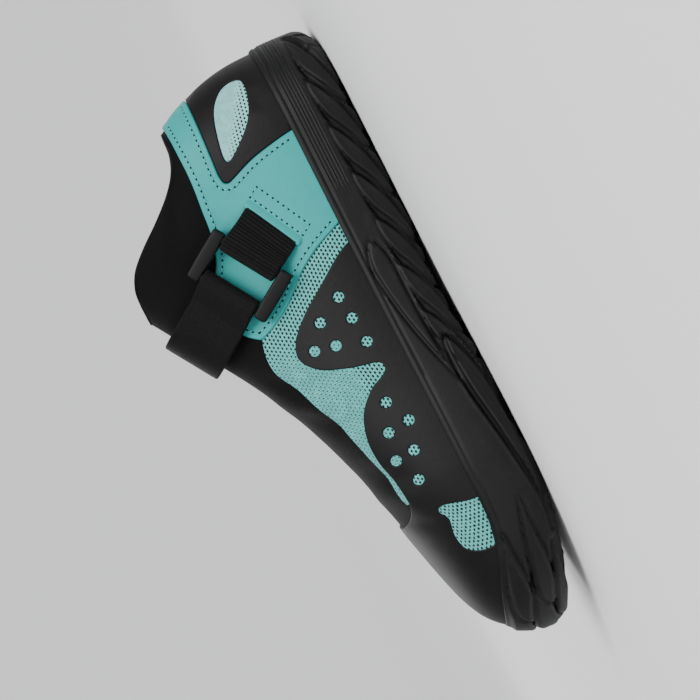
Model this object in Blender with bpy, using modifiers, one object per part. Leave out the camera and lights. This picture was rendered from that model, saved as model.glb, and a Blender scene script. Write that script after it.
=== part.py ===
"""Water shoe for a left foot: rubber cup sole, insole, hollow bootie upper, wrap, films, mesh and strap.

The toe is at +X, the lateral side at +Y, and Z is up from the floor. Everything is worked out
from the heel end of the sole, then moved so that the origin is the heel's resting spot.
Every piece of the upper comes from one form, the outside of the last with its wall on.
"""

import math
from collections import namedtuple

import bmesh
import bpy
import numpy as np
from mathutils import Matrix

# Driving sizes in metres
LENGTH = 0.268
BALL_WIDTH = 0.098
HEEL_WIDTH = 0.070
COLLAR_HEIGHT = 0.113
HEEL_HEIGHT = 0.0740
UPPER_WALL = 0.0024
CLEARANCE = 0.0003
BAND_CLEARANCE = 0.0007

# Sole
SOLE_FLANGE = 0.0032
RIM_HEIGHT = 0.0265
BUMPER_HEIGHT = 0.0370
HEEL_THICKNESS = 0.0120
BALL_THICKNESS = 0.0085
TOE_SPRING = 0.0110
HEEL_BEVEL = 0.0020
ARCH_RISE = 0.0022
GROOVE_WIDTH = 0.0019
LEAF_GROOVE_WIDTH = 0.0015
GROOVE_DEPTH = 0.0018
SIDE_GROOVE_DEPTH = 0.0010
INSOLE_THICKNESS = 0.0035

# Overlays
WRAP_THICKNESS = 0.0012
FILM_THICKNESS = 0.0009
MESH_THICKNESS = 0.0006
DRAIN_DIAMETER = 0.0043

# Strap and buckle
STRAP_WIDTH = 0.0250
STRAP_THICKNESS = 0.0015
WEBBING_THICKNESS = 0.0013
BUCKLE_SIDE_BAR = 0.0040
BUCKLE_CROSS_BAR = 0.0032
BUCKLE_WINDOW = 0.0140
BUCKLE_PLAY = 0.0005
BUCKLE_THICKNESS = 0.0026
BUCKLE_ROUNDING = 0.0006
BUCKLE_WIDTH = STRAP_WIDTH + 2 * (BUCKLE_PLAY + BUCKLE_SIDE_BAR)
BUCKLE_LENGTH = BUCKLE_WINDOW + 2 * BUCKLE_CROSS_BAR

# Where things lie, from the heel end and the floor
HEEL_REST = 0.0300
STRAP_PLANE = 0.0316
STRAP_TILT = math.radians(32.7)
BUCKLE_FROM_RIDGE = 0.0480
SLOT_FROM_RIDGE = 0.0725
STRAP_END_FROM_RIDGE = -0.0300
STRAP_ROOT_FROM_RIDGE = -0.0725
GIRTH_CORE = 0.0800
GIRTH_REACH = 0.0900

# Mesh counts
COLUMNS = 48
ROWS_IN_CUP = 2
ROWS_ABOVE = 8
DRAIN_SIDES = 6
LAP_POINTS = 8
RIM_SHARE = ROWS_IN_CUP / (ROWS_IN_CUP + ROWS_ABOVE)

MILLIMETRE = 0.001
CUTTER_BEYOND = 3 * MILLIMETRE

# Outline of the sole, ends not yet rounded: along is a share of the length, half a share of the
# width there, and centre a share of the ball width.
Plan = namedtuple("Plan", "along centre half")
PLAN = [
    Plan(0.00, 0.008, 0.500),
    Plan(0.16, 0.008, 0.500),
    Plan(0.25, 0.018, 0.496),
    Plan(0.35, 0.041, 0.470),
    Plan(0.45, 0.061, 0.427),
    Plan(0.55, 0.061, 0.422),
    Plan(0.65, 0.036, 0.457),
    Plan(0.72, 0.010, 0.490),
    Plan(0.80, -0.030, 0.478),
    Plan(0.88, -0.074, 0.450),
    Plan(0.94, -0.110, 0.405),
    Plan(1.00, -0.143, 0.320),
]

# Top line of the form from the toe to the collar's front, carried on upwards behind it:
# along is a share of the form's length, up a share of the collar's height.
Ridge = namedtuple("Ridge", "along up")
RIDGE = [
    Ridge(1.0000, 0.085),
    Ridge(0.9985, 0.180),
    Ridge(0.9920, 0.250),
    Ridge(0.9770, 0.318),
    Ridge(0.9510, 0.376),
    Ridge(0.9160, 0.417),
    Ridge(0.8700, 0.450),
    Ridge(0.8130, 0.483),
    Ridge(0.7520, 0.517),
    Ridge(0.6760, 0.562),
    Ridge(0.5990, 0.619),
    Ridge(0.5230, 0.693),
    Ridge(0.4650, 0.762),
    Ridge(0.4080, 0.842),
    Ridge(0.3700, 0.897),
    Ridge(0.3320, 0.953),
    Ridge(0.3010, 1.000),
    Ridge(0.2780, 1.050),
    Ridge(0.2480, 1.135),
    Ridge(0.1980, 1.300),
    Ridge(0.1220, 1.610),
    Ridge(0.0000, 2.200),
]

# Back line of the form: up is a share of the heel's height, in a share of the heel's width.
Back = namedtuple("Back", "up inward")
BACK = [
    Back(0.13, 0.021),
    Back(0.27, 0.008),
    Back(0.40, 0.000),
    Back(0.54, 0.006),
    Back(0.68, 0.034),
    Back(0.81, 0.080),
    Back(0.95, 0.150),
    Back(1.06, 0.215),
    Back(1.25, 0.330),
    Back(1.55, 0.510),
]

# Top line of the collar in side view, as shares of the length and the collar's height above the
# heel's: back of the heel, side, and the rounded top of the front.
Topline = namedtuple("Topline", "along rise")
TOPLINE = [
    Topline(0.000, 0.000),
    Topline(0.060, 0.000),
    Topline(0.095, 0.020),
    Topline(0.125, 0.100),
    Topline(0.152, 0.250),
    Topline(0.180, 0.470),
    Topline(0.206, 0.710),
    Topline(0.228, 0.880),
    Topline(0.252, 0.975),
    Topline(0.276, 1.000),
    Topline(0.330, 1.000),
]

# Side of the sole from the bottom's edge to the rim: up is a share of the side's height and out
# a share of the flange.
Side = namedtuple("Side", "up out")
SIDE = [
    Side(0.000, -2.20),
    Side(0.045, -0.70),
    Side(0.170, 0.62),
    Side(0.400, 1.00),
    Side(0.700, 0.97),
    Side(0.940, 0.76),
    Side(1.000, 0.50),
]

# Zigzag grooves of the tread: lane and swing are shares of the half width, start and finish
# shares of the length.
Zigzag = namedtuple("Zigzag", "lane start finish teeth swing")
ZIGZAGS = [
    Zigzag(0.56, 0.075, 0.50, 4, 0.15),
    Zigzag(0.16, 0.030, 0.56, 5, 0.14),
    Zigzag(-0.24, 0.055, 0.60, 5, 0.14),
    Zigzag(-0.62, 0.085, 0.56, 4, 0.13),
]
TOOTH_RETURN = 0.40

# Long curved grooves of the forefoot: lanes at the start, the middle and the finish.
Rib = namedtuple("Rib", "start finish lane_start lane_middle lane_finish")
RIBS = [
    Rib(0.50, 0.93, 0.70, 0.78, 0.66),
    Rib(0.55, 0.95, 0.38, 0.50, 0.40),
    Rib(0.60, 0.96, 0.08, 0.16, 0.10),
    Rib(0.60, 0.95, -0.26, -0.20, -0.22),
    Rib(0.56, 0.92, -0.62, -0.64, -0.56),
]

# Grooves that lap round the toe bumper and round the heel's edge: turns are shares of half a
# turn from the heel, on both sides of the shoe.
Lap = namedtuple("Lap", "turn lean low high")
LAPS = [
    Lap(0.975, 0.030, 0.02, 0.86),
    Lap(0.915, 0.034, 0.02, 0.78),
    Lap(0.855, 0.036, 0.02, 0.62),
    Lap(0.045, 0.020, 0.00, 0.22),
    Lap(0.130, 0.024, 0.00, 0.24),
    Lap(0.215, 0.026, 0.00, 0.22),
]

# Leaf on the lateral side wall: turn is a share of half a turn, up a share of the side's height.
Leaf = namedtuple("Leaf", "turn up")
SIDE_LEAF = [
    Leaf(0.395, 0.52),
    Leaf(0.405, 0.68),
    Leaf(0.430, 0.72),
    Leaf(0.470, 0.62),
    Leaf(0.530, 0.40),
    Leaf(0.585, 0.30),
    Leaf(0.600, 0.23),
    Leaf(0.580, 0.18),
    Leaf(0.530, 0.20),
    Leaf(0.470, 0.30),
    Leaf(0.420, 0.38),
]

# Edges of the overlays in side view: along is a share of the length, up a share of the collar's
# height.
Edge = namedtuple("Edge", "along up")
WING_REAR = [
    Edge(0.1480, 0.120),
    Edge(0.1530, 0.300),
    Edge(0.1620, 0.410),
    Edge(0.1745, 0.494),
    Edge(0.1770, 0.515),
    Edge(0.1740, 0.531),
    Edge(0.1640, 0.537),
    Edge(0.1300, 0.532),
    Edge(0.0800, 0.523),
    Edge(0.0000, 0.518),
    Edge(-0.050, 0.518),
]
BAND_TOP = [
    Edge(-0.050, 0.634),
    Edge(0.0000, 0.634),
    Edge(0.0900, 0.634),
    Edge(0.1500, 0.636),
    Edge(0.1960, 0.647),
    Edge(0.2400, 0.658),
    Edge(0.2700, 0.680),
    Edge(0.3100, 0.730),
    Edge(0.3550, 0.740),
    Edge(0.3900, 0.710),
    Edge(0.4085, 0.662),
]
WING_FRONT = [
    Edge(0.4085, 0.662),
    Edge(0.4010, 0.612),
    Edge(0.3810, 0.527),
    Edge(0.3460, 0.430),
    Edge(0.3250, 0.350),
    Edge(0.3050, 0.240),
    Edge(0.2900, 0.120),
]
MESH_TOP = [
    Edge(0.4110, 0.664),
    Edge(0.4350, 0.676),
    Edge(0.4650, 0.670),
    Edge(0.5070, 0.620),
    Edge(0.5500, 0.575),
    Edge(0.6000, 0.535),
    Edge(0.6600, 0.497),
    Edge(0.7250, 0.462),
]
LOBES = [
    Edge(0.3260, 0.120),
    Edge(0.3400, 0.262),
    Edge(0.3780, 0.400),
    Edge(0.4080, 0.500),
    Edge(0.4350, 0.560),
    Edge(0.4600, 0.575),
    Edge(0.4860, 0.530),
    Edge(0.5050, 0.430),
    Edge(0.5190, 0.325),
    Edge(0.5300, 0.325),
    Edge(0.5480, 0.400),
    Edge(0.5760, 0.460),
    Edge(0.6150, 0.487),
    Edge(0.6600, 0.482),
    Edge(0.7250, 0.450),
    Edge(0.7500, 0.480),
    Edge(0.7600, 0.560),
    Edge(0.7620, 0.700),
]
COUNTER_WINDOW = [
    Edge(0.0480, 0.318),
    Edge(0.0980, 0.345),
    Edge(0.1330, 0.425),
    Edge(0.1480, 0.488),
    Edge(0.1080, 0.478),
    Edge(0.0660, 0.440),
    Edge(0.0450, 0.380),
]
TOE_WINDOW = [
    Edge(0.7470, 0.366),
    Edge(0.7530, 0.376),
    Edge(0.7680, 0.356),
    Edge(0.7950, 0.362),
    Edge(0.8220, 0.345),
    Edge(0.8340, 0.290),
    Edge(0.8260, 0.150),
    Edge(0.7600, 0.150),
    Edge(0.7560, 0.270),
]
DRAINS = [
    Edge(0.403, 0.354),
    Edge(0.440, 0.345),
    Edge(0.481, 0.336),
    Edge(0.425, 0.451),
    Edge(0.466, 0.438),
    Edge(0.459, 0.513),
    Edge(0.574, 0.372),
    Edge(0.612, 0.330),
    Edge(0.616, 0.410),
    Edge(0.655, 0.360),
    Edge(0.658, 0.430),
    Edge(0.697, 0.390),
]


# Curves and small helpers
def column_of(rows, name):
    return np.array([getattr(row, name) for row in rows])


def through(xs, ys, x):
    """Value at x of a smooth curve through the points of xs and ys."""
    xs, ys, x = np.asarray(xs, float), np.asarray(ys, float), np.asarray(x, float)
    slope = np.gradient(ys, xs)
    i = np.clip(np.searchsorted(xs, x) - 1, 0, len(xs) - 2)
    step = xs[i + 1] - xs[i]
    t = np.clip((x - xs[i]) / step, 0.0, 1.0)
    rest = (2 * t - 3) * t * t + 1
    bend = step * t * (1 - t) * ((1 - t) * slope[i] - t * slope[i + 1])
    return rest * ys[i] + (1 - rest) * ys[i + 1] + bend


def smooth_path(points, per_span, closed=False):
    """Points on a smooth curve through the given points, per_span to each stretch."""
    points = np.asarray(points, float)
    count = len(points)
    if closed:
        points = np.concatenate([points[-2:], points, points[:3]])
        first, last = 2, 2 + count
    else:
        first, last = 0, count - 1
    gaps = np.linalg.norm(np.diff(points, axis=0), axis=1) ** 0.5
    knots = np.concatenate([[0.0], np.cumsum(gaps)])
    steps = [np.linspace(knots[i], knots[i + 1], per_span, endpoint=False) for i in range(first, last)]
    at = np.concatenate(steps if closed else steps + [knots[last : last + 1]])
    return np.stack([through(knots, points[:, k], at) for k in range(points.shape[1])], axis=1)


def ease(x):
    x = np.clip(x, 0.0, 1.0)
    return x * x * (3 - 2 * x)


def round_end(share, power):
    """0 at an end and 1 once the share of the rounding's reach is used up."""
    left = 1 - np.clip(share, 0.0, 1.0)
    return (1 - left**power) ** (1 / power)


# The form: the outside of the bootie
FORM_LENGTH = LENGTH - 2 * SOLE_FLANGE
FORM_TOE = LENGTH - SOLE_FLANGE
TOE_ROUNDING = 0.26 * LENGTH
HEEL_ROUNDING = 0.50 * HEEL_WIDTH
WAIST_DRAW = 0.22

ridge_path = smooth_path(
    [(SOLE_FLANGE + r.along * FORM_LENGTH, r.up * COLLAR_HEIGHT) for r in RIDGE], 12
)


def top_of(x):
    """Height of the form's top line over x."""
    return np.interp(-np.asarray(x), -ridge_path[:, 0], ridge_path[:, 1])


def front_at(z):
    """Where the form's top line has the height z."""
    return np.interp(z, ridge_path[:, 1], ridge_path[:, 0])


def back_at(z):
    """Where the form's back has the height z."""
    inward = through(column_of(BACK, "up"), column_of(BACK, "inward"), np.asarray(z) / HEEL_HEIGHT)
    return SOLE_FLANGE + inward * HEEL_WIDTH


def topline_at(x):
    rise = through(column_of(TOPLINE, "along"), column_of(TOPLINE, "rise"), np.asarray(x) / LENGTH)
    return HEEL_HEIGHT + rise * (COLLAR_HEIGHT - HEEL_HEIGHT)


def ground_at(x):
    """Height of the sole's bottom: flat heel and ball, raised arch, toe spring and heel bevel."""
    share = np.asarray(x) / LENGTH
    arch = ARCH_RISE * ease((share - 0.33) / 0.10) * ease((0.57 - share) / 0.10)
    spring = TOE_SPRING * np.clip((share - 0.75) / 0.25, 0.0, 1.2) ** 1.8
    bevel = HEEL_BEVEL * np.clip((0.055 - share) / 0.055, 0.0, 1.0) ** 1.5
    return arch + spring + bevel


def footbed_at(x):
    share = np.asarray(x) / LENGTH
    return ground_at(x) + HEEL_THICKNESS + (BALL_THICKNESS - HEEL_THICKNESS) * ease((share - 0.25) / 0.40)


def rim_at(x):
    share = np.asarray(x) / LENGTH
    return RIM_HEIGHT + (BUMPER_HEIGHT - RIM_HEIGHT) * ease((share - 0.78) / 0.20)


def plan_at(x):
    """Centre line and half width of the sole's outline, its ends not yet rounded."""
    share = np.clip(np.asarray(x) / LENGTH, 0.0, 1.0)
    along = column_of(PLAN, "along")
    width = HEEL_WIDTH + (BALL_WIDTH - HEEL_WIDTH) * ease((share - 0.30) / 0.38)
    centre = through(along, column_of(PLAN, "centre"), share) * BALL_WIDTH
    return centre, through(along, column_of(PLAN, "half"), share) * width


def form_side(x, z):
    """Centre and half width of the form at x and z."""
    centre, half = plan_at(x)
    low, top = footbed_at(x), top_of(x)
    up = np.clip((z - low) / np.maximum(top - low, 1e-6), 0.0, 1.0)
    power = 2.15 + 0.45 * ease((x / LENGTH - 0.45) / 0.30)
    arch = (1 - up**power) ** (1 / power)
    toe = round_end((FORM_TOE - x) / TOE_ROUNDING, 2.2)
    heel = round_end((x - back_at(z)) / HEEL_ROUNDING, 2.1)
    draw = ease((z - RIM_HEIGHT) / (HEEL_HEIGHT - RIM_HEIGHT)) * ease((0.62 - x / LENGTH) / 0.30)
    lean = 0.045 * BALL_WIDTH * up**2 * ease((x / LENGTH - 0.30) / 0.30) * ease((1.0 - x / LENGTH) / 0.20)
    return centre - lean, (half - SOLE_FLANGE) * arch * toe * heel * (1 - WAIST_DRAW * draw)


def form_point(turn, z):
    """Point of the form at a height; the turn runs from the heel round the lateral side."""
    back, front = back_at(z), front_at(z)
    x = back + (front - back) * (1 - np.cos(turn)) / 2
    centre, half = form_side(x, z)
    lateral = np.mod(turn, 2 * math.pi) <= math.pi
    return np.stack([x, centre + np.where(lateral, half, -half), z + 0 * x], axis=-1)


def level_where(turn, height_at):
    """Height at which a turn's column meets the height_at of its own x."""
    low, high = np.full_like(turn, 0.004), np.full_like(turn, COLLAR_HEIGHT)
    for _ in range(40):
        middle = (low + high) / 2
        above = middle > height_at(form_point(turn, middle)[..., 0])
        high = np.where(above, middle, high)
        low = np.where(above, low, middle)
    return (low + high) / 2


TABLE_TURNS = np.linspace(0, math.pi, 721)
BOTTOM_LEVELS = level_where(TABLE_TURNS, footbed_at) + CLEARANCE
RIM_LEVELS = level_where(TABLE_TURNS, rim_at)
TOP_LEVELS = level_where(TABLE_TURNS, topline_at)


def form_grid(turn, rise):
    """Point of the form: rise is 0 at the footbed, RIM_SHARE at the rim and 1 at the top line."""
    turn, rise = np.broadcast_arrays(np.asarray(turn, float), np.asarray(rise, float))
    either_side = math.pi - np.abs(np.mod(turn, 2 * math.pi) - math.pi)
    levels = (BOTTOM_LEVELS, RIM_LEVELS, TOP_LEVELS)
    bottom, rim, top = (np.interp(either_side, TABLE_TURNS, level) for level in levels)
    in_cup = bottom + (rim - bottom) * rise / RIM_SHARE
    above = rim + (top - rim) * (rise - RIM_SHARE) / (1 - RIM_SHARE)
    return form_point(turn, np.where(rise < RIM_SHARE, in_cup, above))


def form_normal(turn, rise):
    step = 1e-3
    across = form_grid(turn + step, rise) - form_grid(turn - step, rise)
    upward = form_grid(turn, rise + step) - form_grid(turn, rise - step)
    normal = np.cross(upward, across)
    return normal / np.linalg.norm(normal, axis=-1, keepdims=True)


# Meshes, objects and materials
parts = None
cutters = None
frame = None


def clear_scene():
    for obj in list(bpy.data.objects):
        bpy.data.objects.remove(obj, do_unlink=True)


def new_frame():
    """Empty that carries every object, so that the origin is the heel's resting spot."""
    empty = bpy.data.objects.new("frame", None)
    bpy.context.scene.collection.objects.link(empty)
    empty.location.x = -HEEL_REST
    return empty


def new_collection(name):
    collection = bpy.data.collections.new(name)
    bpy.context.scene.collection.children.link(collection)
    return collection


def material(name, colour, roughness, metallic=0.0):
    made = bpy.data.materials.new(name)
    made.use_nodes = True
    shader = made.node_tree.nodes["Principled BSDF"]
    shader.inputs["Base Color"].default_value = (*colour, 1.0)
    shader.inputs["Roughness"].default_value = roughness
    shader.inputs["Metallic"].default_value = metallic
    made.diffuse_color = (*colour, 1.0)
    return made


def add_body(name, body, finish=None):
    """An object of the parts with a finish, or a cutter without one, from a finished bmesh."""
    bmesh.ops.recalc_face_normals(body, faces=body.faces)
    mesh = bpy.data.meshes.new(name)
    body.to_mesh(mesh)
    body.free()
    obj = bpy.data.objects.new(name, mesh)
    obj.parent = frame
    if finish is None:
        cutters.objects.link(obj)
        obj.hide_render = True
        obj.display_type = "WIRE"
    else:
        parts.objects.link(obj)
        mesh.materials.append(finish)
        mesh.shade_smooth()
        mesh.set_sharp_from_angle(angle=math.radians(35))
    return obj


def add_mesh(name, points, faces, finish=None):
    body = bmesh.new()
    corners = [body.verts.new(p) for p in points]
    for face in faces:
        body.faces.new([corners[i] for i in face])
    return add_body(name, body, finish)


def block(name, size, placed, finish=None):
    """Box of a size, put in its place by a matrix."""
    body = bmesh.new()
    bmesh.ops.create_cube(body, size=1.0)
    bmesh.ops.scale(body, vec=size, verts=body.verts)
    obj = add_body(name, body, finish)
    obj.matrix_basis = placed
    return obj


def boolean(obj, cutter, operation, overlapping=False):
    modifier = obj.modifiers.new(cutter.name, "BOOLEAN")
    modifier.operation = operation
    modifier.solver = "EXACT"
    modifier.object = cutter
    modifier.use_self = overlapping


def strip(first, second, count, closed):
    """Quads between two rows of points whose indices start at first and second."""
    last = count if closed else count - 1
    return [(first + i, first + (i + 1) % count, second + (i + 1) % count, second + i) for i in range(last)]


def split_strip(first, second, count):
    """Triangles round two closed rows of points, all split the same way."""
    faces = []
    for a, b, c, d in strip(first, second, count, True):
        faces += [(a, b, c), (a, c, d)]
    return faces


def lid(ring, count):
    """Faces across a ring of points, from each lateral point to the medial one at the same x."""
    half = count // 2
    faces = [(ring, ring + 1, ring + count - 1), (ring + half, ring + half + 1, ring + half - 1)]
    for i in range(1, half - 1):
        faces.append((ring + i, ring + i + 1, ring + count - i - 1, ring + count - i))
    return faces


def ring_turns():
    return np.linspace(0, 2 * math.pi, COLUMNS, endpoint=False)


def shell(name, inner, outer, lowest=0.0, finish=None):
    """Closed wall between two offsets of the form, from a rise up to the collar's top line."""
    rises = np.linspace(0, 1, ROWS_IN_CUP + ROWS_ABOVE + 1)
    rises = np.concatenate([[lowest], rises[rises > lowest + 1e-6]])
    turn, rise = np.meshgrid(ring_turns(), rises)
    on_form, normal = form_grid(turn, rise), form_normal(turn, rise)
    layers = [on_form + outer * normal, on_form + inner * normal]
    points = np.concatenate([layer.reshape(-1, 3) for layer in layers])
    rows, faces = len(rises), []
    for layer in range(2):
        for row in range(rows - 1):
            start = (layer * rows + row) * COLUMNS
            faces += split_strip(start, start + COLUMNS, COLUMNS)
    faces += strip(0, rows * COLUMNS, COLUMNS, True)
    faces += strip((rows - 1) * COLUMNS, (2 * rows - 1) * COLUMNS, COLUMNS, True)
    return add_mesh(name, points, faces, finish)


def prism(name, outline, low, high):
    """Cutter with a side-view outline, from one y to another."""
    body = bmesh.new()
    face = body.faces.new([body.verts.new((x, low, z)) for x, z in outline])
    raised = bmesh.ops.extrude_face_region(body, geom=[face])["geom"]
    raised = [v for v in raised if isinstance(v, bmesh.types.BMVert)]
    bmesh.ops.translate(body, vec=(0, high - low, 0), verts=raised)
    return add_body(name, body)


def edge_path(rows, per_span=2, closed=False):
    """Edge of an overlay in metres, smoothed through its rows."""
    return smooth_path([(r.along * LENGTH, r.up * COLLAR_HEIGHT) for r in rows], per_span, closed)


def moved_left(path, gap):
    """An open path moved to its left by a gap."""
    along = np.gradient(path, axis=0)
    along /= np.linalg.norm(along, axis=1, keepdims=True)
    return path + gap * np.stack([-along[:, 1], along[:, 0]], axis=1)


# Sole and insole
def foot_ring(turn, out, up):
    """Points beside the form's foot: out from its outline, at a share of the side's height."""
    foot = form_grid(turn, 0.0)
    outward = form_normal(turn, 0.0)
    outward[:, 2] = 0
    outward /= np.linalg.norm(outward, axis=1, keepdims=True)
    rim = form_grid(turn, RIM_SHARE)
    low = ground_at(foot[:, 0])
    z = low + np.asarray(up) * (rim[:, 2] - low)
    at = form_point(turn, np.clip(z, foot[:, 2], rim[:, 2]))
    at = np.where((z > foot[:, 2])[:, None], at, foot)
    point = at + outward * np.asarray(out)[..., None]
    point[:, 2] = z
    return point, outward


def side_point(turn, up):
    """Point and outward direction on the outside of the sole's side."""
    out = through(column_of(SIDE, "up"), column_of(SIDE, "out"), up) * SOLE_FLANGE
    return foot_ring(turn, out, up)


def make_sole(finish):
    turn = ring_turns()
    rings = [foot_ring(turn, side.out * SOLE_FLANGE, side.up)[0] for side in SIDE]
    rings[0][:, 2] = ground_at(rings[0][:, 0])
    for row in range(ROWS_IN_CUP, -1, -1):
        rise = RIM_SHARE * row / ROWS_IN_CUP
        rings.append(form_grid(turn, rise) + CLEARANCE * form_normal(turn, rise))
    rings[len(SIDE)][:, 2] = rings[len(SIDE) - 1][:, 2]
    rings[-1][:, 2] = footbed_at(rings[-1][:, 0])
    points = np.concatenate(rings)
    faces = []
    for row in range(len(rings) - 1):
        faces += strip(row * COLUMNS, (row + 1) * COLUMNS, COLUMNS, True)
    faces += lid(0, COLUMNS) + lid((len(rings) - 1) * COLUMNS, COLUMNS)
    sole = add_mesh("sole", points, faces, finish)
    boolean(sole, tread_cutter(), "DIFFERENCE", overlapping=True)
    boolean(sole, side_cutter(), "DIFFERENCE", overlapping=True)
    return sole


def tread_point(along, lane):
    """Point on the bottom: the lane is -1 at the medial edge and 1 at the lateral one."""
    x = np.asarray(along) * LENGTH
    centre, half = plan_at(x)
    half = half * round_end((LENGTH - x) / TOE_ROUNDING, 2.2) * round_end(x / HEEL_ROUNDING, 2.1)
    return np.stack([x, centre + half * np.asarray(lane), ground_at(x)], axis=-1)


def groove(path, normals, width, depth, points, faces):
    """Adds a channel-shaped body along a path, sunk by a depth below the surface."""
    path, normals = np.asarray(path), np.asarray(normals)
    along = np.gradient(path, axis=0)
    along /= np.linalg.norm(along, axis=1, keepdims=True)
    across = np.cross(along, normals)
    across /= np.linalg.norm(across, axis=1, keepdims=True)
    first = len(points)
    for p, n, a in zip(path, normals, across):
        for sideways, height in ((-1, -depth), (1, -depth), (1, CUTTER_BEYOND), (-1, CUTTER_BEYOND)):
            points.append(p + a * sideways * width / 2 + n * height)
    for i in range(len(path) - 1):
        faces += strip(first + 4 * i, first + 4 * i + 4, 4, True)
    faces.append((first, first + 1, first + 2, first + 3))
    end = first + 4 * (len(path) - 1)
    faces.append((end, end + 1, end + 2, end + 3))


def zigzag_strokes(zigzag):
    """Straight strokes of a saw-toothed groove, long ones outwards and short ones back."""
    pitch = (zigzag.finish - zigzag.start) / (zigzag.teeth + TOOTH_RETURN)
    inner, outer = zigzag.lane - zigzag.swing, zigzag.lane + zigzag.swing
    for tooth in range(zigzag.teeth):
        start = zigzag.start + tooth * pitch
        tip = (start + (1 + TOOTH_RETURN) * pitch, outer)
        yield (start, inner), tip
        if tooth < zigzag.teeth - 1:
            yield tip, (start + pitch, inner)


def tread_cutter():
    points, faces = [], []
    down = np.array([0.0, 0.0, -1.0])
    for zigzag in ZIGZAGS:
        for start, finish in zigzag_strokes(zigzag):
            share = np.linspace(0, 1, 3 if start[1] < finish[1] else 2)[:, None]
            stroke = np.array(start) + share * (np.array(finish) - np.array(start))
            path = tread_point(stroke[:, 0], stroke[:, 1])
            groove(path, np.tile(down, (len(path), 1)), GROOVE_WIDTH, GROOVE_DEPTH, points, faces)
    for rib in RIBS:
        share = np.linspace(0, 1, 6)
        lane = through([0, 0.5, 1], [rib.lane_start, rib.lane_middle, rib.lane_finish], share)
        path = tread_point(rib.start + share * (rib.finish - rib.start), lane)
        groove(path, np.tile(down, (len(path), 1)), GROOVE_WIDTH, GROOVE_DEPTH, points, faces)
    return add_mesh("tread_cutter", points, faces)


def side_cutter():
    points, faces = [], []
    for lap in LAPS:
        for side in (1, -1):
            share = np.linspace(0, 1, LAP_POINTS)
            turn = math.pi * (lap.turn - lap.lean * share**1.5)
            turn = turn if side == 1 else 2 * math.pi - turn
            path, outward = side_point(turn, lap.low + share * (lap.high - lap.low))
            groove(path, outward, GROOVE_WIDTH, SIDE_GROOVE_DEPTH, points, faces)
    leaf = smooth_path([(r.turn, r.up) for r in SIDE_LEAF], 2, closed=True)
    leaf = np.concatenate([leaf, leaf[:1]])
    path, outward = side_point(math.pi * leaf[:, 0], leaf[:, 1])
    groove(path, outward, LEAF_GROOVE_WIDTH, SIDE_GROOVE_DEPTH, points, faces)
    return add_mesh("side_cutter", points, faces)


def make_insole(finish):
    inset = -(UPPER_WALL + 2 * CLEARANCE)
    bottom = foot_ring(ring_turns(), inset, 0.0)[0]
    bottom[:, 2] = footbed_at(bottom[:, 0]) + CLEARANCE
    top = bottom + np.array([0, 0, INSOLE_THICKNESS])
    faces = strip(0, COLUMNS, COLUMNS, True) + lid(0, COLUMNS) + lid(COLUMNS, COLUMNS)
    return add_mesh("insole", np.concatenate([bottom, top]), faces, finish)


# Overlays
FAR = BALL_WIDTH
MIDDLE_GAP = CLEARANCE
EDGE_GAP = 1.2 * CLEARANCE
OVERLAY_LOWEST = RIM_SHARE + 0.004


def overlay(name, thickness, finish, cuts, side=0):
    """Piece of film, wrap or mesh: the form's wall inside the first outline and outside the rest."""
    low = MIDDLE_GAP if side > 0 else -FAR
    high = -MIDDLE_GAP if side < 0 else FAR
    obj = shell(name, CLEARANCE, CLEARANCE + thickness, OVERLAY_LOWEST, finish)
    for number, (operation, outline) in enumerate(cuts):
        boolean(obj, prism(f"{name}_cut_{number}", outline, low, high), operation)
    return obj


def wrap_outline():
    return np.concatenate([edge_path(WING_REAR), edge_path(BAND_TOP)[:-1], edge_path(WING_FRONT)])


def counter_outline():
    edge = moved_left(edge_path(WING_REAR), EDGE_GAP)
    return np.concatenate([edge, [(-0.05 * LENGTH, 0.0)], [(edge[0, 0], 0.0)]])


def mesh_outline():
    wing = moved_left(edge_path(WING_FRONT), EDGE_GAP)
    lobes = moved_left(edge_path(LOBES[:15]), EDGE_GAP)
    return np.concatenate([wing, lobes, edge_path(MESH_TOP)[::-1]])


def toe_film_outline():
    edge = edge_path(LOBES)
    beyond = 1.1 * LENGTH
    return np.concatenate([edge, [(beyond, edge[-1, 1]), (beyond, 0.0), (edge[0, 0], 0.0)]])


def grown(outline, gap):
    """Closed outline moved outwards, or inwards with a minus gap."""
    along = np.roll(outline, -1, axis=0) - np.roll(outline, 1, axis=0)
    along /= np.linalg.norm(along, axis=1, keepdims=True)
    area = np.sum(outline[:, 0] * np.roll(outline[:, 1], -1) - outline[:, 1] * np.roll(outline[:, 0], -1))
    return outline + gap * math.copysign(1.0, area) * np.stack([along[:, 1], -along[:, 0]], axis=1)


def drain_cutter():
    body = bmesh.new()
    for drain in DRAINS:
        middle = Matrix.Translation((drain.along * LENGTH, 0, drain.up * COLLAR_HEIGHT))
        bmesh.ops.create_cone(
            body,
            cap_ends=True,
            segments=DRAIN_SIDES,
            radius1=DRAIN_DIAMETER / 2,
            radius2=DRAIN_DIAMETER / 2,
            depth=2 * FAR,
            matrix=middle @ Matrix.Rotation(math.pi / 2, 4, "X"),
        )
    return add_body("drain_cutter", body)


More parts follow.
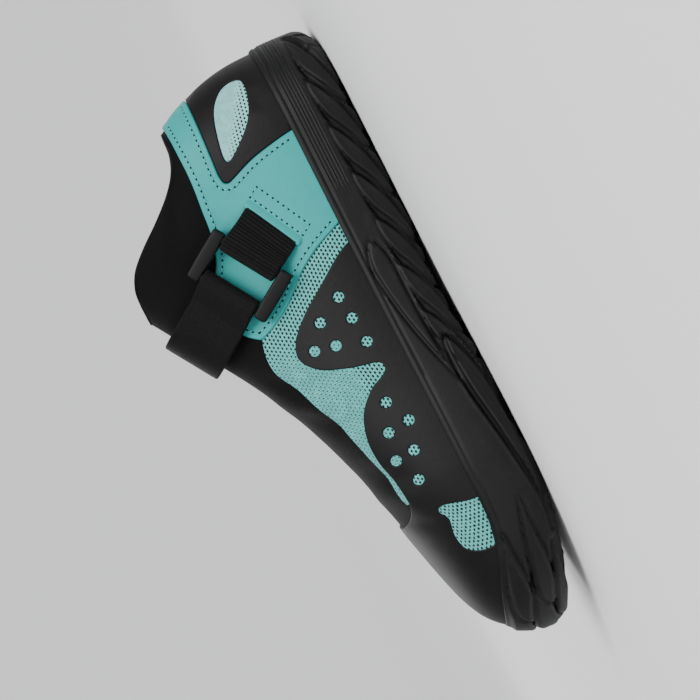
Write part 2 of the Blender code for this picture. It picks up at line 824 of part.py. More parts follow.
def make_overlays(mint, mesh_mint, film):
    counter_window = edge_path(COUNTER_WINDOW, closed=True)
    toe_window = edge_path(TOE_WINDOW, closed=True)
    overlay("quarter_wrap", WRAP_THICKNESS, mint, [("INTERSECT", wrap_outline())])
    cuts = [("INTERSECT", counter_outline()), ("DIFFERENCE", counter_window)]
    overlay("heel_counter", FILM_THICKNESS, film, cuts)
    cuts = [("INTERSECT", toe_film_outline()), ("DIFFERENCE", toe_window)]
    toe_film = overlay("toe_film", FILM_THICKNESS, film, cuts)
    boolean(toe_film, drain_cutter(), "DIFFERENCE")
    for side, word in ((1, "lateral"), (-1, "medial")):
        overlay(f"vamp_mesh_{word}", MESH_THICKNESS, mesh_mint, [("INTERSECT", mesh_outline())], side)
        inside = [("INTERSECT", grown(counter_window, -2 * CLEARANCE))]
        overlay(f"counter_mesh_{word}", MESH_THICKNESS, mesh_mint, inside, side)
        inside = [("INTERSECT", grown(toe_window, -2 * CLEARANCE))]
        overlay(f"toe_mesh_{word}", MESH_THICKNESS, mesh_mint, inside, side)


# Strap, webbing and buckle, which lie in planes square to the instep line
RIDGE_WAY = np.array([math.cos(STRAP_TILT), 0.0, -math.sin(STRAP_TILT)])
GIRTH_UP = np.array([math.sin(STRAP_TILT), 0.0, math.cos(STRAP_TILT)])


def inside_form(point):
    x, y, z = point[..., 0], point[..., 1], point[..., 2]
    centre, half = form_side(x, z)
    return (np.abs(y - centre) < half) & (z < top_of(x))


def girth_curve(across):
    """Points round the instep in one plane, from the lateral side over the top to the medial."""
    angle = np.radians(np.linspace(-115, 115, 231))
    core = RIDGE_WAY * (STRAP_PLANE + across) + GIRTH_UP * GIRTH_CORE
    way = np.cos(angle)[:, None] * GIRTH_UP - np.sin(angle)[:, None] * np.array([0.0, 1.0, 0.0])
    low, high = np.zeros(len(angle)), np.full(len(angle), GIRTH_REACH)
    for _ in range(36):
        middle = (low + high) / 2
        within = inside_form(core + way * middle[:, None])
        low, high = np.where(within, middle, low), np.where(within, high, middle)
    return core + way * low[:, None]


def on_girth(across, along, height):
    """Point over the form: along is the way from the ridge, plus on the lateral side."""
    curve = girth_curve(across)
    length = np.concatenate([[0.0], np.cumsum(np.linalg.norm(np.diff(curve, axis=0), axis=1))])
    length = length[len(curve) // 2] - length
    outward = np.cross(np.gradient(curve, axis=0), RIDGE_WAY)
    at, way = (
        np.stack([np.interp(along, length[::-1], values[::-1, k]) for k in range(3)], axis=-1)
        for values in (curve, outward)
    )
    way /= np.linalg.norm(way, axis=-1, keepdims=True)
    return at + np.asarray(height)[..., None] * way


def buckle_plane():
    """Origin and axes of the flat plane that the form's lateral side touches under the buckle."""
    reach = np.linspace(-0.5, 0.5, 5)
    along = BUCKLE_FROM_RIDGE + reach * BUCKLE_LENGTH
    under = [on_girth(share * BUCKLE_WIDTH, along, 0 * reach) for share in reach]
    centre = under[2][2]
    up = under[2][0] - under[2][4]
    up /= np.linalg.norm(up)
    sideways = under[4][2] - under[0][2]
    sideways -= up * sideways.dot(up)
    sideways /= np.linalg.norm(sideways)
    outward = np.cross(sideways, up)
    outward *= math.copysign(1.0, outward[1])
    lift = max((point - centre).dot(outward) for row in under for point in row)
    return centre + outward * lift, sideways, up, outward


BUCKLE_PLANE = buckle_plane()


def band_point(across, along, height):
    """Point of a band: over the form, and over the buckle's flat plane near the buckle."""
    origin, sideways, up, outward = BUCKLE_PLANE
    along, height = np.asarray(along)[..., None], np.asarray(height)
    flat = origin + sideways * across + up * (BUCKLE_FROM_RIDGE - along) + outward * height[..., None]
    beyond = np.abs(along - BUCKLE_FROM_RIDGE) - BUCKLE_LENGTH / 2
    return flat + (on_girth(across, along[..., 0], height) - flat) * ease(beyond / BUCKLE_LENGTH * 2)


def folded_band(name, path, thickness, width, finish, across_count=4):
    """Strap of a thickness whose middle follows a path of (along, height) over the form."""
    path = np.asarray(path)
    along = np.gradient(path, axis=0)
    along /= np.linalg.norm(along, axis=1, keepdims=True)
    left = np.stack([-along[:, 1], along[:, 0]], axis=1) * thickness / 2
    outline = np.concatenate([path + left, (path - left)[::-1]])
    count = len(outline)
    rows = []
    for across in np.linspace(-width / 2, width / 2, across_count):
        rows.append(band_point(across, outline[:, 0], outline[:, 1]))
    faces = []
    for row in range(across_count - 1):
        faces += strip(row * count, (row + 1) * count, count, True)
    half = count // 2
    for row in (0, across_count - 1):
        for i in range(half - 1):
            a, b = row * count + i, row * count + count - 1 - i
            faces.append((a, a + 1, b - 1, b))
    return add_mesh(name, np.concatenate(rows), faces, finish)


WRAP_TOP = CLEARANCE + WRAP_THICKNESS
BAR_BOTTOM = WRAP_TOP + BAND_CLEARANCE + STRAP_THICKNESS + 2 * CLEARANCE


def turn_round_bar(bar, thickness, way):
    """Turn of a strap's middle round a bar of the buckle, from below it to behind its top."""
    radius = (BUCKLE_THICKNESS + thickness) / 2 + CLEARANCE
    middle = BAR_BOTTOM + BUCKLE_THICKNESS / 2
    edge = bar + way * (BUCKLE_CROSS_BAR / 2 - BUCKLE_ROUNDING)
    angle = np.radians(np.linspace(-90, 90, 7))
    turn = [(edge + way * radius * math.cos(a), middle + radius * math.sin(a)) for a in angle]
    return turn + [(bar - way * BUCKLE_CROSS_BAR / 2, middle + radius)]


def make_strap(finish):
    under = WRAP_TOP + BAND_CLEARANCE + STRAP_THICKNESS / 2
    over = under + STRAP_THICKNESS + CLEARANCE
    bar = BUCKLE_FROM_RIDGE - (BUCKLE_LENGTH - BUCKLE_CROSS_BAR) / 2
    path = [(a, under) for a in np.linspace(STRAP_ROOT_FROM_RIDGE, bar - BUCKLE_CROSS_BAR, 19)]
    path += turn_round_bar(bar, STRAP_THICKNESS, 1)
    path += [(a, over) for a in np.linspace(bar - 3 * BUCKLE_CROSS_BAR, STRAP_END_FROM_RIDGE, 11)]
    return folded_band("strap", path, STRAP_THICKNESS, STRAP_WIDTH, finish)


def make_webbing(finish):
    under = WRAP_TOP + BAND_CLEARANCE + WEBBING_THICKNESS / 2
    over = under + WEBBING_THICKNESS + CLEARANCE
    bar = BUCKLE_FROM_RIDGE + (BUCKLE_LENGTH - BUCKLE_CROSS_BAR) / 2
    path = [(a, under) for a in np.linspace(SLOT_FROM_RIDGE, bar + BUCKLE_CROSS_BAR, 5)]
    path += turn_round_bar(bar, WEBBING_THICKNESS, -1)
    path += [(a, over) for a in np.linspace(bar + 2.5 * BUCKLE_CROSS_BAR, SLOT_FROM_RIDGE, 4)]
    return folded_band("webbing_loop", path, WEBBING_THICKNESS, STRAP_WIDTH, finish)


def make_buckle(finish):
    origin, sideways, up, outward = BUCKLE_PLANE
    centre = origin + outward * (BAR_BOTTOM + BUCKLE_THICKNESS / 2)
    turned = Matrix(np.stack((sideways, up, np.cross(sideways, up)), axis=1)).to_4x4()
    placed = Matrix.Translation(centre) @ turned
    buckle = block("buckle", (BUCKLE_WIDTH, BUCKLE_LENGTH, BUCKLE_THICKNESS), placed, finish)
    opening = (STRAP_WIDTH + 2 * BUCKLE_PLAY, BUCKLE_WINDOW, 3 * BUCKLE_THICKNESS)
    boolean(buckle, block("buckle_window", opening, placed), "DIFFERENCE")
    bevel = buckle.modifiers.new("rounded", "BEVEL")
    bevel.width = BUCKLE_ROUNDING
    bevel.segments = 2


def main():
    global parts, cutters, frame
    clear_scene()
    frame = new_frame()
    parts = new_collection("water_shoe")
    cutters = new_collection("cutters")
    rubber = material("rubber_black", (0.022, 0.021, 0.022), 0.55)
    foam = material("foam_grey", (0.06, 0.06, 0.065), 0.9)
    neoprene = material("neoprene_black", (0.012, 0.012, 0.013), 0.8)
    mint = material("synthetic_mint", (0.14, 0.55, 0.49), 0.5)
    mesh_mint = material("mesh_mint", (0.25, 0.60, 0.54), 0.85)
    film = material("film_black", (0.018, 0.017, 0.018), 0.4)
    webbing = material("webbing_black", (0.012, 0.012, 0.012), 0.75)
    plastic = material("plastic_black", (0.015, 0.015, 0.015), 0.35)
    make_sole(rubber)
    make_insole(foam)
    shell("upper", -UPPER_WALL, 0.0, 0.0, neoprene)
    make_overlays(mint, mesh_mint, film)
    make_webbing(webbing)
    make_strap(webbing)
    make_buckle(plastic)


main()
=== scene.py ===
"""Looks of the water shoe: fine rubber, neoprene, film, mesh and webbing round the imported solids.

Points are worked out from the heel end of the sole, in metres, with +X to the toe, +Y to the lateral
side and +Z up, and are moved by HEEL_REST when a mesh is made, because the origin is the resting spot
of the heel. Every piece of the upper lies on the form, the outside of the bootie.
"""

import math
from collections import namedtuple
from functools import lru_cache

import bmesh
import bpy
import numpy as np
from mathutils import Matrix, Vector
from mathutils.geometry import delaunay_2d_cdt


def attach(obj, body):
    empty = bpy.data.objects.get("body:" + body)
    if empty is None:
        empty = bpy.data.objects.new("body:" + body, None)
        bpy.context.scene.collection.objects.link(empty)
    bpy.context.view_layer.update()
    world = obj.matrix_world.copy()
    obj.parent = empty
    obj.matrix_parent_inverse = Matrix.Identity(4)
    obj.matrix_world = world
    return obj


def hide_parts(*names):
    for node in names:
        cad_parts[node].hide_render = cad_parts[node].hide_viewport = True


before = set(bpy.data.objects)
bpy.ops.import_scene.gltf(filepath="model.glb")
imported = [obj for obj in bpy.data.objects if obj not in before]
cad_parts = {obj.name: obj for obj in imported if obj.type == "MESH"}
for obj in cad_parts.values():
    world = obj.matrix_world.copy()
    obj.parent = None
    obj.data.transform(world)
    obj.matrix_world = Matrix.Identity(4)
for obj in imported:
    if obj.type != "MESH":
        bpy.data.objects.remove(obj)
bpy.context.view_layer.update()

MILLIMETRE = 0.001

# Driving sizes, as in the solids
LENGTH = 0.268
BALL_WIDTH = 0.098
HEEL_WIDTH = 0.070
COLLAR_HEIGHT = 0.113
HEEL_HEIGHT = 0.0740
UPPER_WALL = 0.0024
CLEARANCE = 0.0003
BAND_CLEARANCE = 0.0007
SOLE_FLANGE = 0.0032
RIM_HEIGHT = 0.0265
BUMPER_HEIGHT = 0.0370
HEEL_THICKNESS = 0.0120
BALL_THICKNESS = 0.0085
TOE_SPRING = 0.0110
HEEL_BEVEL = 0.0020
ARCH_RISE = 0.0022
INSOLE_THICKNESS = 0.0035
WRAP_THICKNESS = 0.0012
FILM_THICKNESS = 0.0009
MESH_THICKNESS = 0.0006
DRAIN_DIAMETER = 0.0043
STRAP_WIDTH = 0.0250
STRAP_THICKNESS = 0.0015
WEBBING_THICKNESS = 0.0013
BUCKLE_SIDE_BAR = 0.0040
BUCKLE_CROSS_BAR = 0.0032
BUCKLE_WINDOW = 0.0140
BUCKLE_PLAY = 0.0005
BUCKLE_THICKNESS = 0.0026
BUCKLE_ROUNDING = 0.0006
SIDE_BAR_GROWTH = 0.0015
SIDE_BAR_REACH = 0.0009
SIDE_BAR_SWELL = 0.06
BUCKLE_WIDTH = STRAP_WIDTH + 2 * (BUCKLE_PLAY + BUCKLE_SIDE_BAR)
BUCKLE_LENGTH = BUCKLE_WINDOW + 2 * BUCKLE_CROSS_BAR
HEEL_REST = 0.0300
STRAP_PLANE = 0.0316
STRAP_TILT = math.radians(32.7)
BUCKLE_FROM_RIDGE = 0.0480
SLOT_FROM_RIDGE = 0.0725
SLOT_DIP = 0.0026
SLOT_DIP_REACH = 0.0060
STRAP_END_FROM_RIDGE = -0.0300
STRAP_ROOT_FROM_RIDGE = -0.0725
GIRTH_CORE = 0.0800
GIRTH_REACH = 0.0900
RIM_SHARE = 0.2
OVERLAY_LOW = RIM_SHARE - 0.014
HEEL_TURN = 0.20
WRAP_HEEL_LOW = 0.518
WRAP_HEEL_TOP = 0.634
COUNTER_HEEL_TOP = 0.515
COUNTER_INSET = 0.0001
VAMP_INSET = 0.0004
WINDOW_OVERLAP = 0.0008
FLAT_RADIUS = 0.085
MESH_LIFT = 0.0001
LIP_HALF_WIDTH = 0.0139
WINDOW_LOW = RIM_SHARE - 0.004
COLLAR_EDGE = 0.988

# Fineness of the meshes
SOLE_COLUMNS = 720
SOLE_ROWS = 54
TREAD_LANES = 84
UPPER_COLUMNS = 440
UPPER_ROWS = 132
LINING_ROWS = 40
INSOLE_COLUMNS = 240
INSOLE_LANES = 40
POINTS_BETWEEN_ROWS = 6
DRAIN_POINTS = 20
POINTS_AT_ONCE = 1500
STITCH_SIDES = 7
HOLE_SIDES = 9
BAR_SIDES = 32

# Rings of points inside an overlay's edge and inside a window's edge
EDGE_INSETS = np.array([0.12, 0.32, 0.6, 1.0, 1.6, 2.2, 2.7, 3.2, 3.9]) * MILLIMETRE
WINDOW_INSETS = np.array([0.12, 0.32, 0.6, 1.0, 1.7]) * MILLIMETRE
OVERLAY_GRID = 1.6 * MILLIMETRE

# Sewing
STITCH_LENGTH = 0.0017
STITCH_PITCH = 0.0026
STITCH_THICKNESS = 0.00062
STITCH_INSET = 0.0027
STITCH_TILT = 0.12
THREAD_LIFT = 0.00005
# Share of the way along a stitch, from its middle, and share of its thickness there
STITCH_BEAD = [(-1.0, 0.35), (-0.72, 0.85), (-0.25, 1.0), (0.25, 1.0), (0.72, 0.85), (1.0, 0.35)]
STRAP_STITCH_PITCH = 0.0023
NEEDLE_HOLE = 0.00105

# Weave of the tapes
RIB_PITCH_MM = 1.4
RIB_HEIGHT = 0.00026
BAND_SPACING = 0.00035
RIBBED_SPACING = 0.00012
SELVEDGE_INSET = 0.0018
SELVEDGE_DEPTH = 0.0001

# Outline of the sole, the form's top line, back line and collar, as in the solids: all are shares
# of the sizes above. Outline: along, centre and half width.
PLAN = np.array([
    (0.00, 0.008, 0.500), (0.16, 0.008, 0.500), (0.25, 0.018, 0.496), (0.35, 0.041, 0.470),
    (0.45, 0.061, 0.427), (0.55, 0.061, 0.422), (0.65, 0.036, 0.457), (0.72, 0.010, 0.490),
    (0.80, -0.030, 0.478), (0.88, -0.074, 0.450), (0.94, -0.110, 0.405), (1.00, -0.143, 0.320),
])
# Top line: along and up
RIDGE = np.array([
    (1.0000, 0.085), (0.9985, 0.180), (0.9920, 0.250), (0.9770, 0.318), (0.9510, 0.376), (0.9160, 0.417),
    (0.8700, 0.450), (0.8130, 0.483), (0.7520, 0.517), (0.6760, 0.562), (0.5990, 0.619), (0.5230, 0.693),
    (0.4650, 0.762), (0.4080, 0.842), (0.3700, 0.897), (0.3320, 0.953), (0.3010, 1.000), (0.2780, 1.050),
    (0.2480, 1.135), (0.1980, 1.300), (0.1220, 1.610), (0.0000, 2.200),
])
# Back line: up and inward
BACK = np.array([
    (0.13, 0.021), (0.27, 0.008), (0.40, 0.000), (0.54, 0.006), (0.68, 0.034), (0.81, 0.080), (0.95, 0.150),
    (1.06, 0.215), (1.25, 0.330), (1.55, 0.510),
])
# Collar: along and rise
TOPLINE = np.array([
    (0.000, 0.000), (0.060, 0.000), (0.095, 0.020), (0.125, 0.100), (0.152, 0.250), (0.180, 0.470),
    (0.206, 0.710), (0.228, 0.880), (0.252, 0.975), (0.276, 1.000), (0.330, 1.000),
])

# Side of the sole from the bottom's edge to the rim, with a rounded edge and a rolled lip: up and out
SIDE = np.array([
    (0.000, -2.20), (0.012, -1.30), (0.045, -0.50), (0.110, 0.25), (0.200, 0.72), (0.400, 1.00),
    (0.700, 0.99), (0.900, 0.90), (0.960, 0.84), (1.000, 0.66),
])

# Edges of the overlays in side view: along is a share of the length, up one of the collar's height
WING_REAR = np.array([
    (0.1480, 0.205), (0.1530, 0.300), (0.1620, 0.410), (0.1745, 0.494), (0.1770, 0.515), (0.1740, 0.531),
    (0.1640, 0.537), (0.1300, 0.532), (0.0800, 0.523), (0.0400, 0.518),
])
BAND_TOP = np.array([
    (0.0400, 0.634), (0.0900, 0.634), (0.1500, 0.636), (0.1960, 0.647), (0.2400, 0.658), (0.2700, 0.680),
    (0.3100, 0.730), (0.3550, 0.740), (0.3900, 0.710), (0.4085, 0.662),
])
WING_FRONT = np.array([
    (0.4085, 0.662), (0.4010, 0.612), (0.3810, 0.527), (0.3460, 0.430), (0.3250, 0.350), (0.3050, 0.240),
    (0.3000, 0.205),
])
MESH_TOP = np.array([
    (0.4110, 0.664), (0.4350, 0.676), (0.4650, 0.670), (0.5070, 0.620), (0.5500, 0.575), (0.6000, 0.535),
    (0.6600, 0.497), (0.7250, 0.462),
])
MESH_END = np.array([(0.725, 0.455), (0.722, 0.400), (0.715, 0.300), (0.712, 0.262)])
LOBES = np.array([
    (0.3330, 0.205), (0.3400, 0.262), (0.3780, 0.400), (0.4080, 0.500), (0.4350, 0.560), (0.4600, 0.575),
    (0.4860, 0.530), (0.5050, 0.430), (0.5190, 0.325), (0.5300, 0.325), (0.5480, 0.400), (0.5760, 0.460),
    (0.6150, 0.487), (0.6600, 0.482), (0.7250, 0.450), (0.7500, 0.480), (0.7600, 0.510),
])
FILM_TOP = 0.7610
COUNTER_WINDOW = np.array([
    (0.0480, 0.318), (0.0980, 0.345), (0.1330, 0.425), (0.1480, 0.488), (0.1080, 0.478), (0.0660, 0.440),
    (0.0450, 0.380),
])
TOE_WINDOW = np.array([
    (0.7470, 0.366), (0.7530, 0.376), (0.7680, 0.356), (0.7950, 0.362), (0.8220, 0.345), (0.8340, 0.290),
    (0.8300, 0.235), (0.7950, 0.225), (0.7600, 0.228), (0.7560, 0.270),
])
DRAINS = np.array([
    (0.403, 0.354), (0.440, 0.345), (0.481, 0.336), (0.425, 0.451), (0.466, 0.438), (0.459, 0.513),
    (0.574, 0.372), (0.612, 0.330), (0.616, 0.410), (0.655, 0.360), (0.658, 0.430), (0.697, 0.390),
])
# Corners of the sewn boxes on the strap's plane, in millimetres: across, and along from the ridge
BOX_STITCH = [(-13.0, 75.6), (-13.0, 80.6), (13.0, 80.6), (13.0, 75.6), (-13.0, 75.6)]
STRAP_STITCH = [(-9.6, -70.0), (-9.6, -54.0), (9.6, -54.0), (9.6, -70.0), (-9.6, -70.0)]

# Leaf-shaped lugs of the outsole. Rear and front ends are in millimetres: x from the heel, and how
# far down the side and then inwards under the shoe from the rim.
# The shoulder is the share of the length where a leaf is widest.
Lug = namedtuple("Lug", "rear_x rear_down front_x front_down belly bend shoulder")
EDGE_LUGS = [Lug(4 + 20.5 * k, 13.5, 46 + 20.5 * k, 31.0, 4.3, -1.6, 0.42) for k in range(7)]
MIDDLE_LUGS = [Lug(2 + 24 * k, 31.0, 46 + 24 * k, 46.0, 4.8, -2.0, 0.40) for k in range(6)]
INNER_LUGS = [Lug(14 + 26 * k, 45.0, 58 + 26 * k, 59.0, 4.8, -1.6, 0.40) for k in range(5)]
FOREFOOT_LUGS = [
    Lug(140, 17.0, 228, 25.0, 4.6, 2.0, 0.35),
    Lug(152, 29.0, 240, 34.0, 4.6, 3.0, 0.35),
    Lug(144, 40.0, 246, 43.0, 4.6, 3.0, 0.35),
    Lug(154, 51.0, 250, 52.0, 4.6, 2.4, 0.35),
    Lug(150, 62.0, 250, 60.0, 4.4, 1.6, 0.35),
]
SIDE_LEAF = Lug(94, 7.5, 158, 14.5, 4.4, -2.0, 0.20)
# Rounded lobes round the toe, as lugs: here x is the way back from the toe's tip along the outline,
# and down is the height
TOE_LOBES = [
    Lug(-4, 30.0, 44, 31.5, 4.6, 1.2, 0.20),
    Lug(16, 26.5, 72, 25.0, 5.4, 1.2, 0.20),
    Lug(2, 21.0, 52, 18.5, 5.4, 1.2, 0.20),
    Lug(27, 16.5, 86, 12.5, 5.0, 1.2, 0.20),
    Lug(8, 11.5, 60, 7.0, 4.6, 1.2, 0.20),
]
# Dimples near the heel, in millimetres: x, down, and their half lengths along and down
HEEL_DIMPLES = [(32, 40, 3.2, 2.0), (47, 52, 3.2, 2.0)]
GROOVE_DEPTH = 0.0019
GROOVE_WIDTH_MM = 1.55
FINE_RIDGE_PITCH_MM = 1.35
FINE_RIDGE_HEIGHT = 0.00022
LIP_ROLL = 0.00045
GROOVE_SHOULDER = 0.0003
SIDE_LEAF_GROOVE = 0.0010
SIDE_LEAF_HEIGHT = 0.0004
DIMPLE_DEPTH = 0.0012
LIP_GROOVE_DEPTH = 0.00055
HEEL_NOTCH_DEPTH = 0.0012
HEEL_NOTCH_PITCH_MM = 11.0
TOE_LOBE_HEIGHT = 0.0006
TOE_LOBE_RIM = 0.0004
TOE_LOBE_GROOVE = 0.0008
TOE_LOBES_REACH_MM = 96.0
TOE_LOBES_FADE_MM = 18.0
# Rounded edge of the insole: inward and up, as shares
INSOLE_EDGE = [(0.0, 0.0), (0.0, 0.55), (0.15, 0.85), (0.5, 0.98), (1.0, 1.0)]
INSOLE_ROUNDING = 0.0016
INSOLE_DISH = 0.0009
# Section of the folded edge over the webbing, in millimetres: along the tape and over the form
SLOT_LIP = [
    (-1.5, 1.55), (-1.55, 2.15), (-1.2, 2.62), (-0.5, 2.8), (0.4, 2.6), (1.3, 2.1), (2.1, 1.62), (2.6, 1.3),
    (2.4, 0.6), (-1.2, 0.9),
]


# Curves and small helpers
def through(xs, ys, x):
    """Value at x of a smooth curve through the points of xs and ys."""
    xs, ys, x = np.asarray(xs, float), np.asarray(ys, float), np.asarray(x, float)
    slope = np.gradient(ys, xs)
    i = np.clip(np.searchsorted(xs, x) - 1, 0, len(xs) - 2)
    step = xs[i + 1] - xs[i]
    t = np.clip((x - xs[i]) / step, 0.0, 1.0)
    rest = (2 * t - 3) * t * t + 1
    bend = step * t * (1 - t) * ((1 - t) * slope[i] - t * slope[i + 1])
    return rest * ys[i] + (1 - rest) * ys[i + 1] + bend


def lengths_along(points):
    return np.concatenate([[0.0], np.cumsum(np.linalg.norm(np.diff(points, axis=0), axis=1))])


def unit(vectors):
    return vectors / np.linalg.norm(vectors, axis=-1, keepdims=True)


def smooth_path(points, per_span, closed=False):
    """Points on a smooth curve through the given points, per_span to each stretch."""
    points = np.asarray(points, float)
    count = len(points)
    if closed:
        points = np.concatenate([points[-2:], points, points[:3]])
        first, last = 2, 2 + count
    else:
        first, last = 0, count - 1
    gaps = np.linalg.norm(np.diff(points, axis=0), axis=1) ** 0.5
    knots = np.concatenate([[0.0], np.cumsum(gaps)])
    steps = [np.linspace(knots[i], knots[i + 1], per_span, endpoint=False) for i in range(first, last)]
    at = np.concatenate(steps if closed else steps + [knots[last : last + 1]])
    return np.stack([through(knots, points[:, k], at) for k in range(points.shape[1])], axis=1)


def even_path(points, spacing):
    """The same line with its points a spacing apart."""
    points = np.asarray(points, float)
    length = lengths_along(points)
    at = np.linspace(0, length[-1], max(int(length[-1] / spacing), 2) + 1)
    return np.stack([np.interp(at, length, points[:, k]) for k in range(points.shape[1])], axis=1)


def ease(x):
    x = np.clip(x, 0.0, 1.0)
    return x * x * (3 - 2 * x)


def round_end(share, power):
    """0 at an end and 1 once the share of the rounding's reach is used up."""
    left = 1 - np.clip(share, 0.0, 1.0)
    return (1 - left**power) ** (1 / power)


def hump(distance, width):
    """1 in the middle of a soft ridge and 0 beyond its width."""
    return np.exp(-((np.asarray(distance) / width) ** 2))


def blunted(share, flat):
    """1 up to a flat share of a tape's half width, and rounded to 0 at its edge."""
    return math.sqrt(max(1 - max((abs(share) - flat) / (1 - flat), 0.0) ** 2, 0.0))


def ring_turns(count):
    return np.linspace(0, 2 * math.pi, count, endpoint=False)


def pairs_round(count):
    """Each place of a closed ring and the next."""
    return [(i, (i + 1) % count) for i in range(count)]


# The form: the outside of the bootie, as in the solids
TABLE_STEPS = 720
RISE_STEPS = 200
FORM_STEP = 1e-3
FORM_LENGTH = LENGTH - 2 * SOLE_FLANGE
FORM_TOE = LENGTH - SOLE_FLANGE
TOE_ROUNDING = 0.26 * LENGTH
HEEL_ROUNDING = 0.50 * HEEL_WIDTH
WAIST_DRAW = 0.22

ridge_path = smooth_path(RIDGE * (FORM_LENGTH, COLLAR_HEIGHT) + (SOLE_FLANGE, 0), 12)


def top_of(x):
    return np.interp(-np.asarray(x), -ridge_path[:, 0], ridge_path[:, 1])


def front_at(z):
    return np.interp(z, ridge_path[:, 1], ridge_path[:, 0])


def back_at(z):
    return SOLE_FLANGE + through(*BACK.T, np.asarray(z) / HEEL_HEIGHT) * HEEL_WIDTH


def topline_at(x):
    return HEEL_HEIGHT + through(*TOPLINE.T, np.asarray(x) / LENGTH) * (COLLAR_HEIGHT - HEEL_HEIGHT)


def ground_at(x):
    """Height of the sole's bottom: flat heel and ball, raised arch, toe spring and heel bevel."""
    share = np.asarray(x) / LENGTH
    arch = ARCH_RISE * ease((share - 0.33) / 0.10) * ease((0.57 - share) / 0.10)
    spring = TOE_SPRING * np.clip((share - 0.75) / 0.25, 0.0, 1.2) ** 1.8
    bevel = HEEL_BEVEL * np.clip((0.055 - share) / 0.055, 0.0, 1.0) ** 1.5
    return arch + spring + bevel


def footbed_at(x):
    share = np.asarray(x) / LENGTH
    return ground_at(x) + HEEL_THICKNESS + (BALL_THICKNESS - HEEL_THICKNESS) * ease((share - 0.25) / 0.40)


def rim_at(x):
    share = np.asarray(x) / LENGTH
    return RIM_HEIGHT + (BUMPER_HEIGHT - RIM_HEIGHT) * ease((share - 0.78) / 0.20)


def plan_at(x):
    share = np.clip(np.asarray(x) / LENGTH, 0.0, 1.0)
    along, centre, half = PLAN.T
    width = HEEL_WIDTH + (BALL_WIDTH - HEEL_WIDTH) * ease((share - 0.30) / 0.38)
    return through(along, centre, share) * BALL_WIDTH, through(along, half, share) * width


def form_side(x, z):
    """Centre and half width of the form at x and z."""
    centre, half = plan_at(x)
    low, top = footbed_at(x), top_of(x)
    up = np.clip((z - low) / np.maximum(top - low, 1e-6), 0.0, 1.0)
    power = 2.15 + 0.45 * ease((x / LENGTH - 0.45) / 0.30)
    arch = (1 - up**power) ** (1 / power)
    toe = round_end((FORM_TOE - x) / TOE_ROUNDING, 2.2)
    heel = round_end((x - back_at(z)) / HEEL_ROUNDING, 2.1)
    draw = ease((z - RIM_HEIGHT) / (HEEL_HEIGHT - RIM_HEIGHT)) * ease((0.62 - x / LENGTH) / 0.30)
    lean = 0.045 * BALL_WIDTH * up**2 * ease((x / LENGTH - 0.30) / 0.30) * ease((1.0 - x / LENGTH) / 0.20)
    return centre - lean, (half - SOLE_FLANGE) * arch * toe * heel * (1 - WAIST_DRAW * draw)


def form_point(turn, z):
    """Point of the form at a height; the turn runs from the heel round the lateral side."""
    back, front = back_at(z), front_at(z)
    x = back + (front - back) * (1 - np.cos(turn)) / 2
    centre, half = form_side(x, z)
    lateral = np.mod(turn, 2 * math.pi) <= math.pi
    return np.stack([x, centre + np.where(lateral, half, -half), z + 0 * x], axis=-1)


def level_where(turn, height_at):
    """Height at which a turn's column meets the height_at of its own x."""
    low, high = np.full_like(turn, 0.004), np.full_like(turn, COLLAR_HEIGHT)
    for _ in range(40):
        middle = (low + high) / 2
        above = middle > height_at(form_point(turn, middle)[..., 0])
        high = np.where(above, middle, high)
        low = np.where(above, low, middle)
    return (low + high) / 2


TABLE_TURNS = np.linspace(0, math.pi, TABLE_STEPS + 1)
LEVELS = [level_where(TABLE_TURNS, height_at) for height_at in (footbed_at, rim_at, topline_at)]
LEVELS[0] += CLEARANCE


def levels_at(turn):
    """Heights of the form's bottom, rim and top line."""
    return [np.interp(turn, TABLE_TURNS, level) for level in LEVELS]


def either_side(turn):
    """The same turn on the lateral side."""
    return math.pi - np.abs(np.mod(turn, 2 * math.pi) - math.pi)


def form_grid(turn, rise):
    """Point of the form: rise is 0 at the footbed, RIM_SHARE at the rim and 1 at the top line."""
    turn, rise = np.broadcast_arrays(np.asarray(turn, float), np.asarray(rise, float))
    bottom, rim, top = levels_at(either_side(turn))
    in_cup = bottom + (rim - bottom) * rise / RIM_SHARE
    above = rim + (top - rim) * (rise - RIM_SHARE) / (1 - RIM_SHARE)
    return form_point(turn, np.where(rise < RIM_SHARE, in_cup, above))


def form_changes(turn, rise):
    """Small differences of the form's points by turn and by rise."""
    by_turn = form_grid(turn + FORM_STEP, rise) - form_grid(turn - FORM_STEP, rise)
    return by_turn, form_grid(turn, rise + FORM_STEP) - form_grid(turn, rise - FORM_STEP)


def form_normal(turn, rise):
    by_turn, by_rise = form_changes(turn, rise)
    return unit(np.cross(by_rise, by_turn))


# The form unrolled: round and up in metres along its surface
TABLE_RISES = np.linspace(0, 1, RISE_STEPS + 1)
table_points = form_grid(TABLE_TURNS[:, None], TABLE_RISES[None, :])
table_steps = np.linalg.norm(np.diff(table_points, axis=1), axis=2)
UP_TABLE = np.concatenate([np.zeros((len(TABLE_TURNS), 1)), np.cumsum(table_steps, axis=1)], axis=1)
ROUND_TABLE = lengths_along(form_grid(TABLE_TURNS, 0.35))


def up_of(turn, rise):
    """Length up the form's surface from the footbed."""
    at = either_side(turn) / math.pi * TABLE_STEPS
    across = np.clip(rise, 0, 1) * RISE_STEPS
    i = np.clip(at.astype(int), 0, TABLE_STEPS - 1)
    j = np.clip(across.astype(int), 0, RISE_STEPS - 1)
    s, t = at - i, across - j
    low = UP_TABLE[i, j] * (1 - s) + UP_TABLE[i + 1, j] * s
    high = UP_TABLE[i, j + 1] * (1 - s) + UP_TABLE[i + 1, j + 1] * s
    return low * (1 - t) + high * t


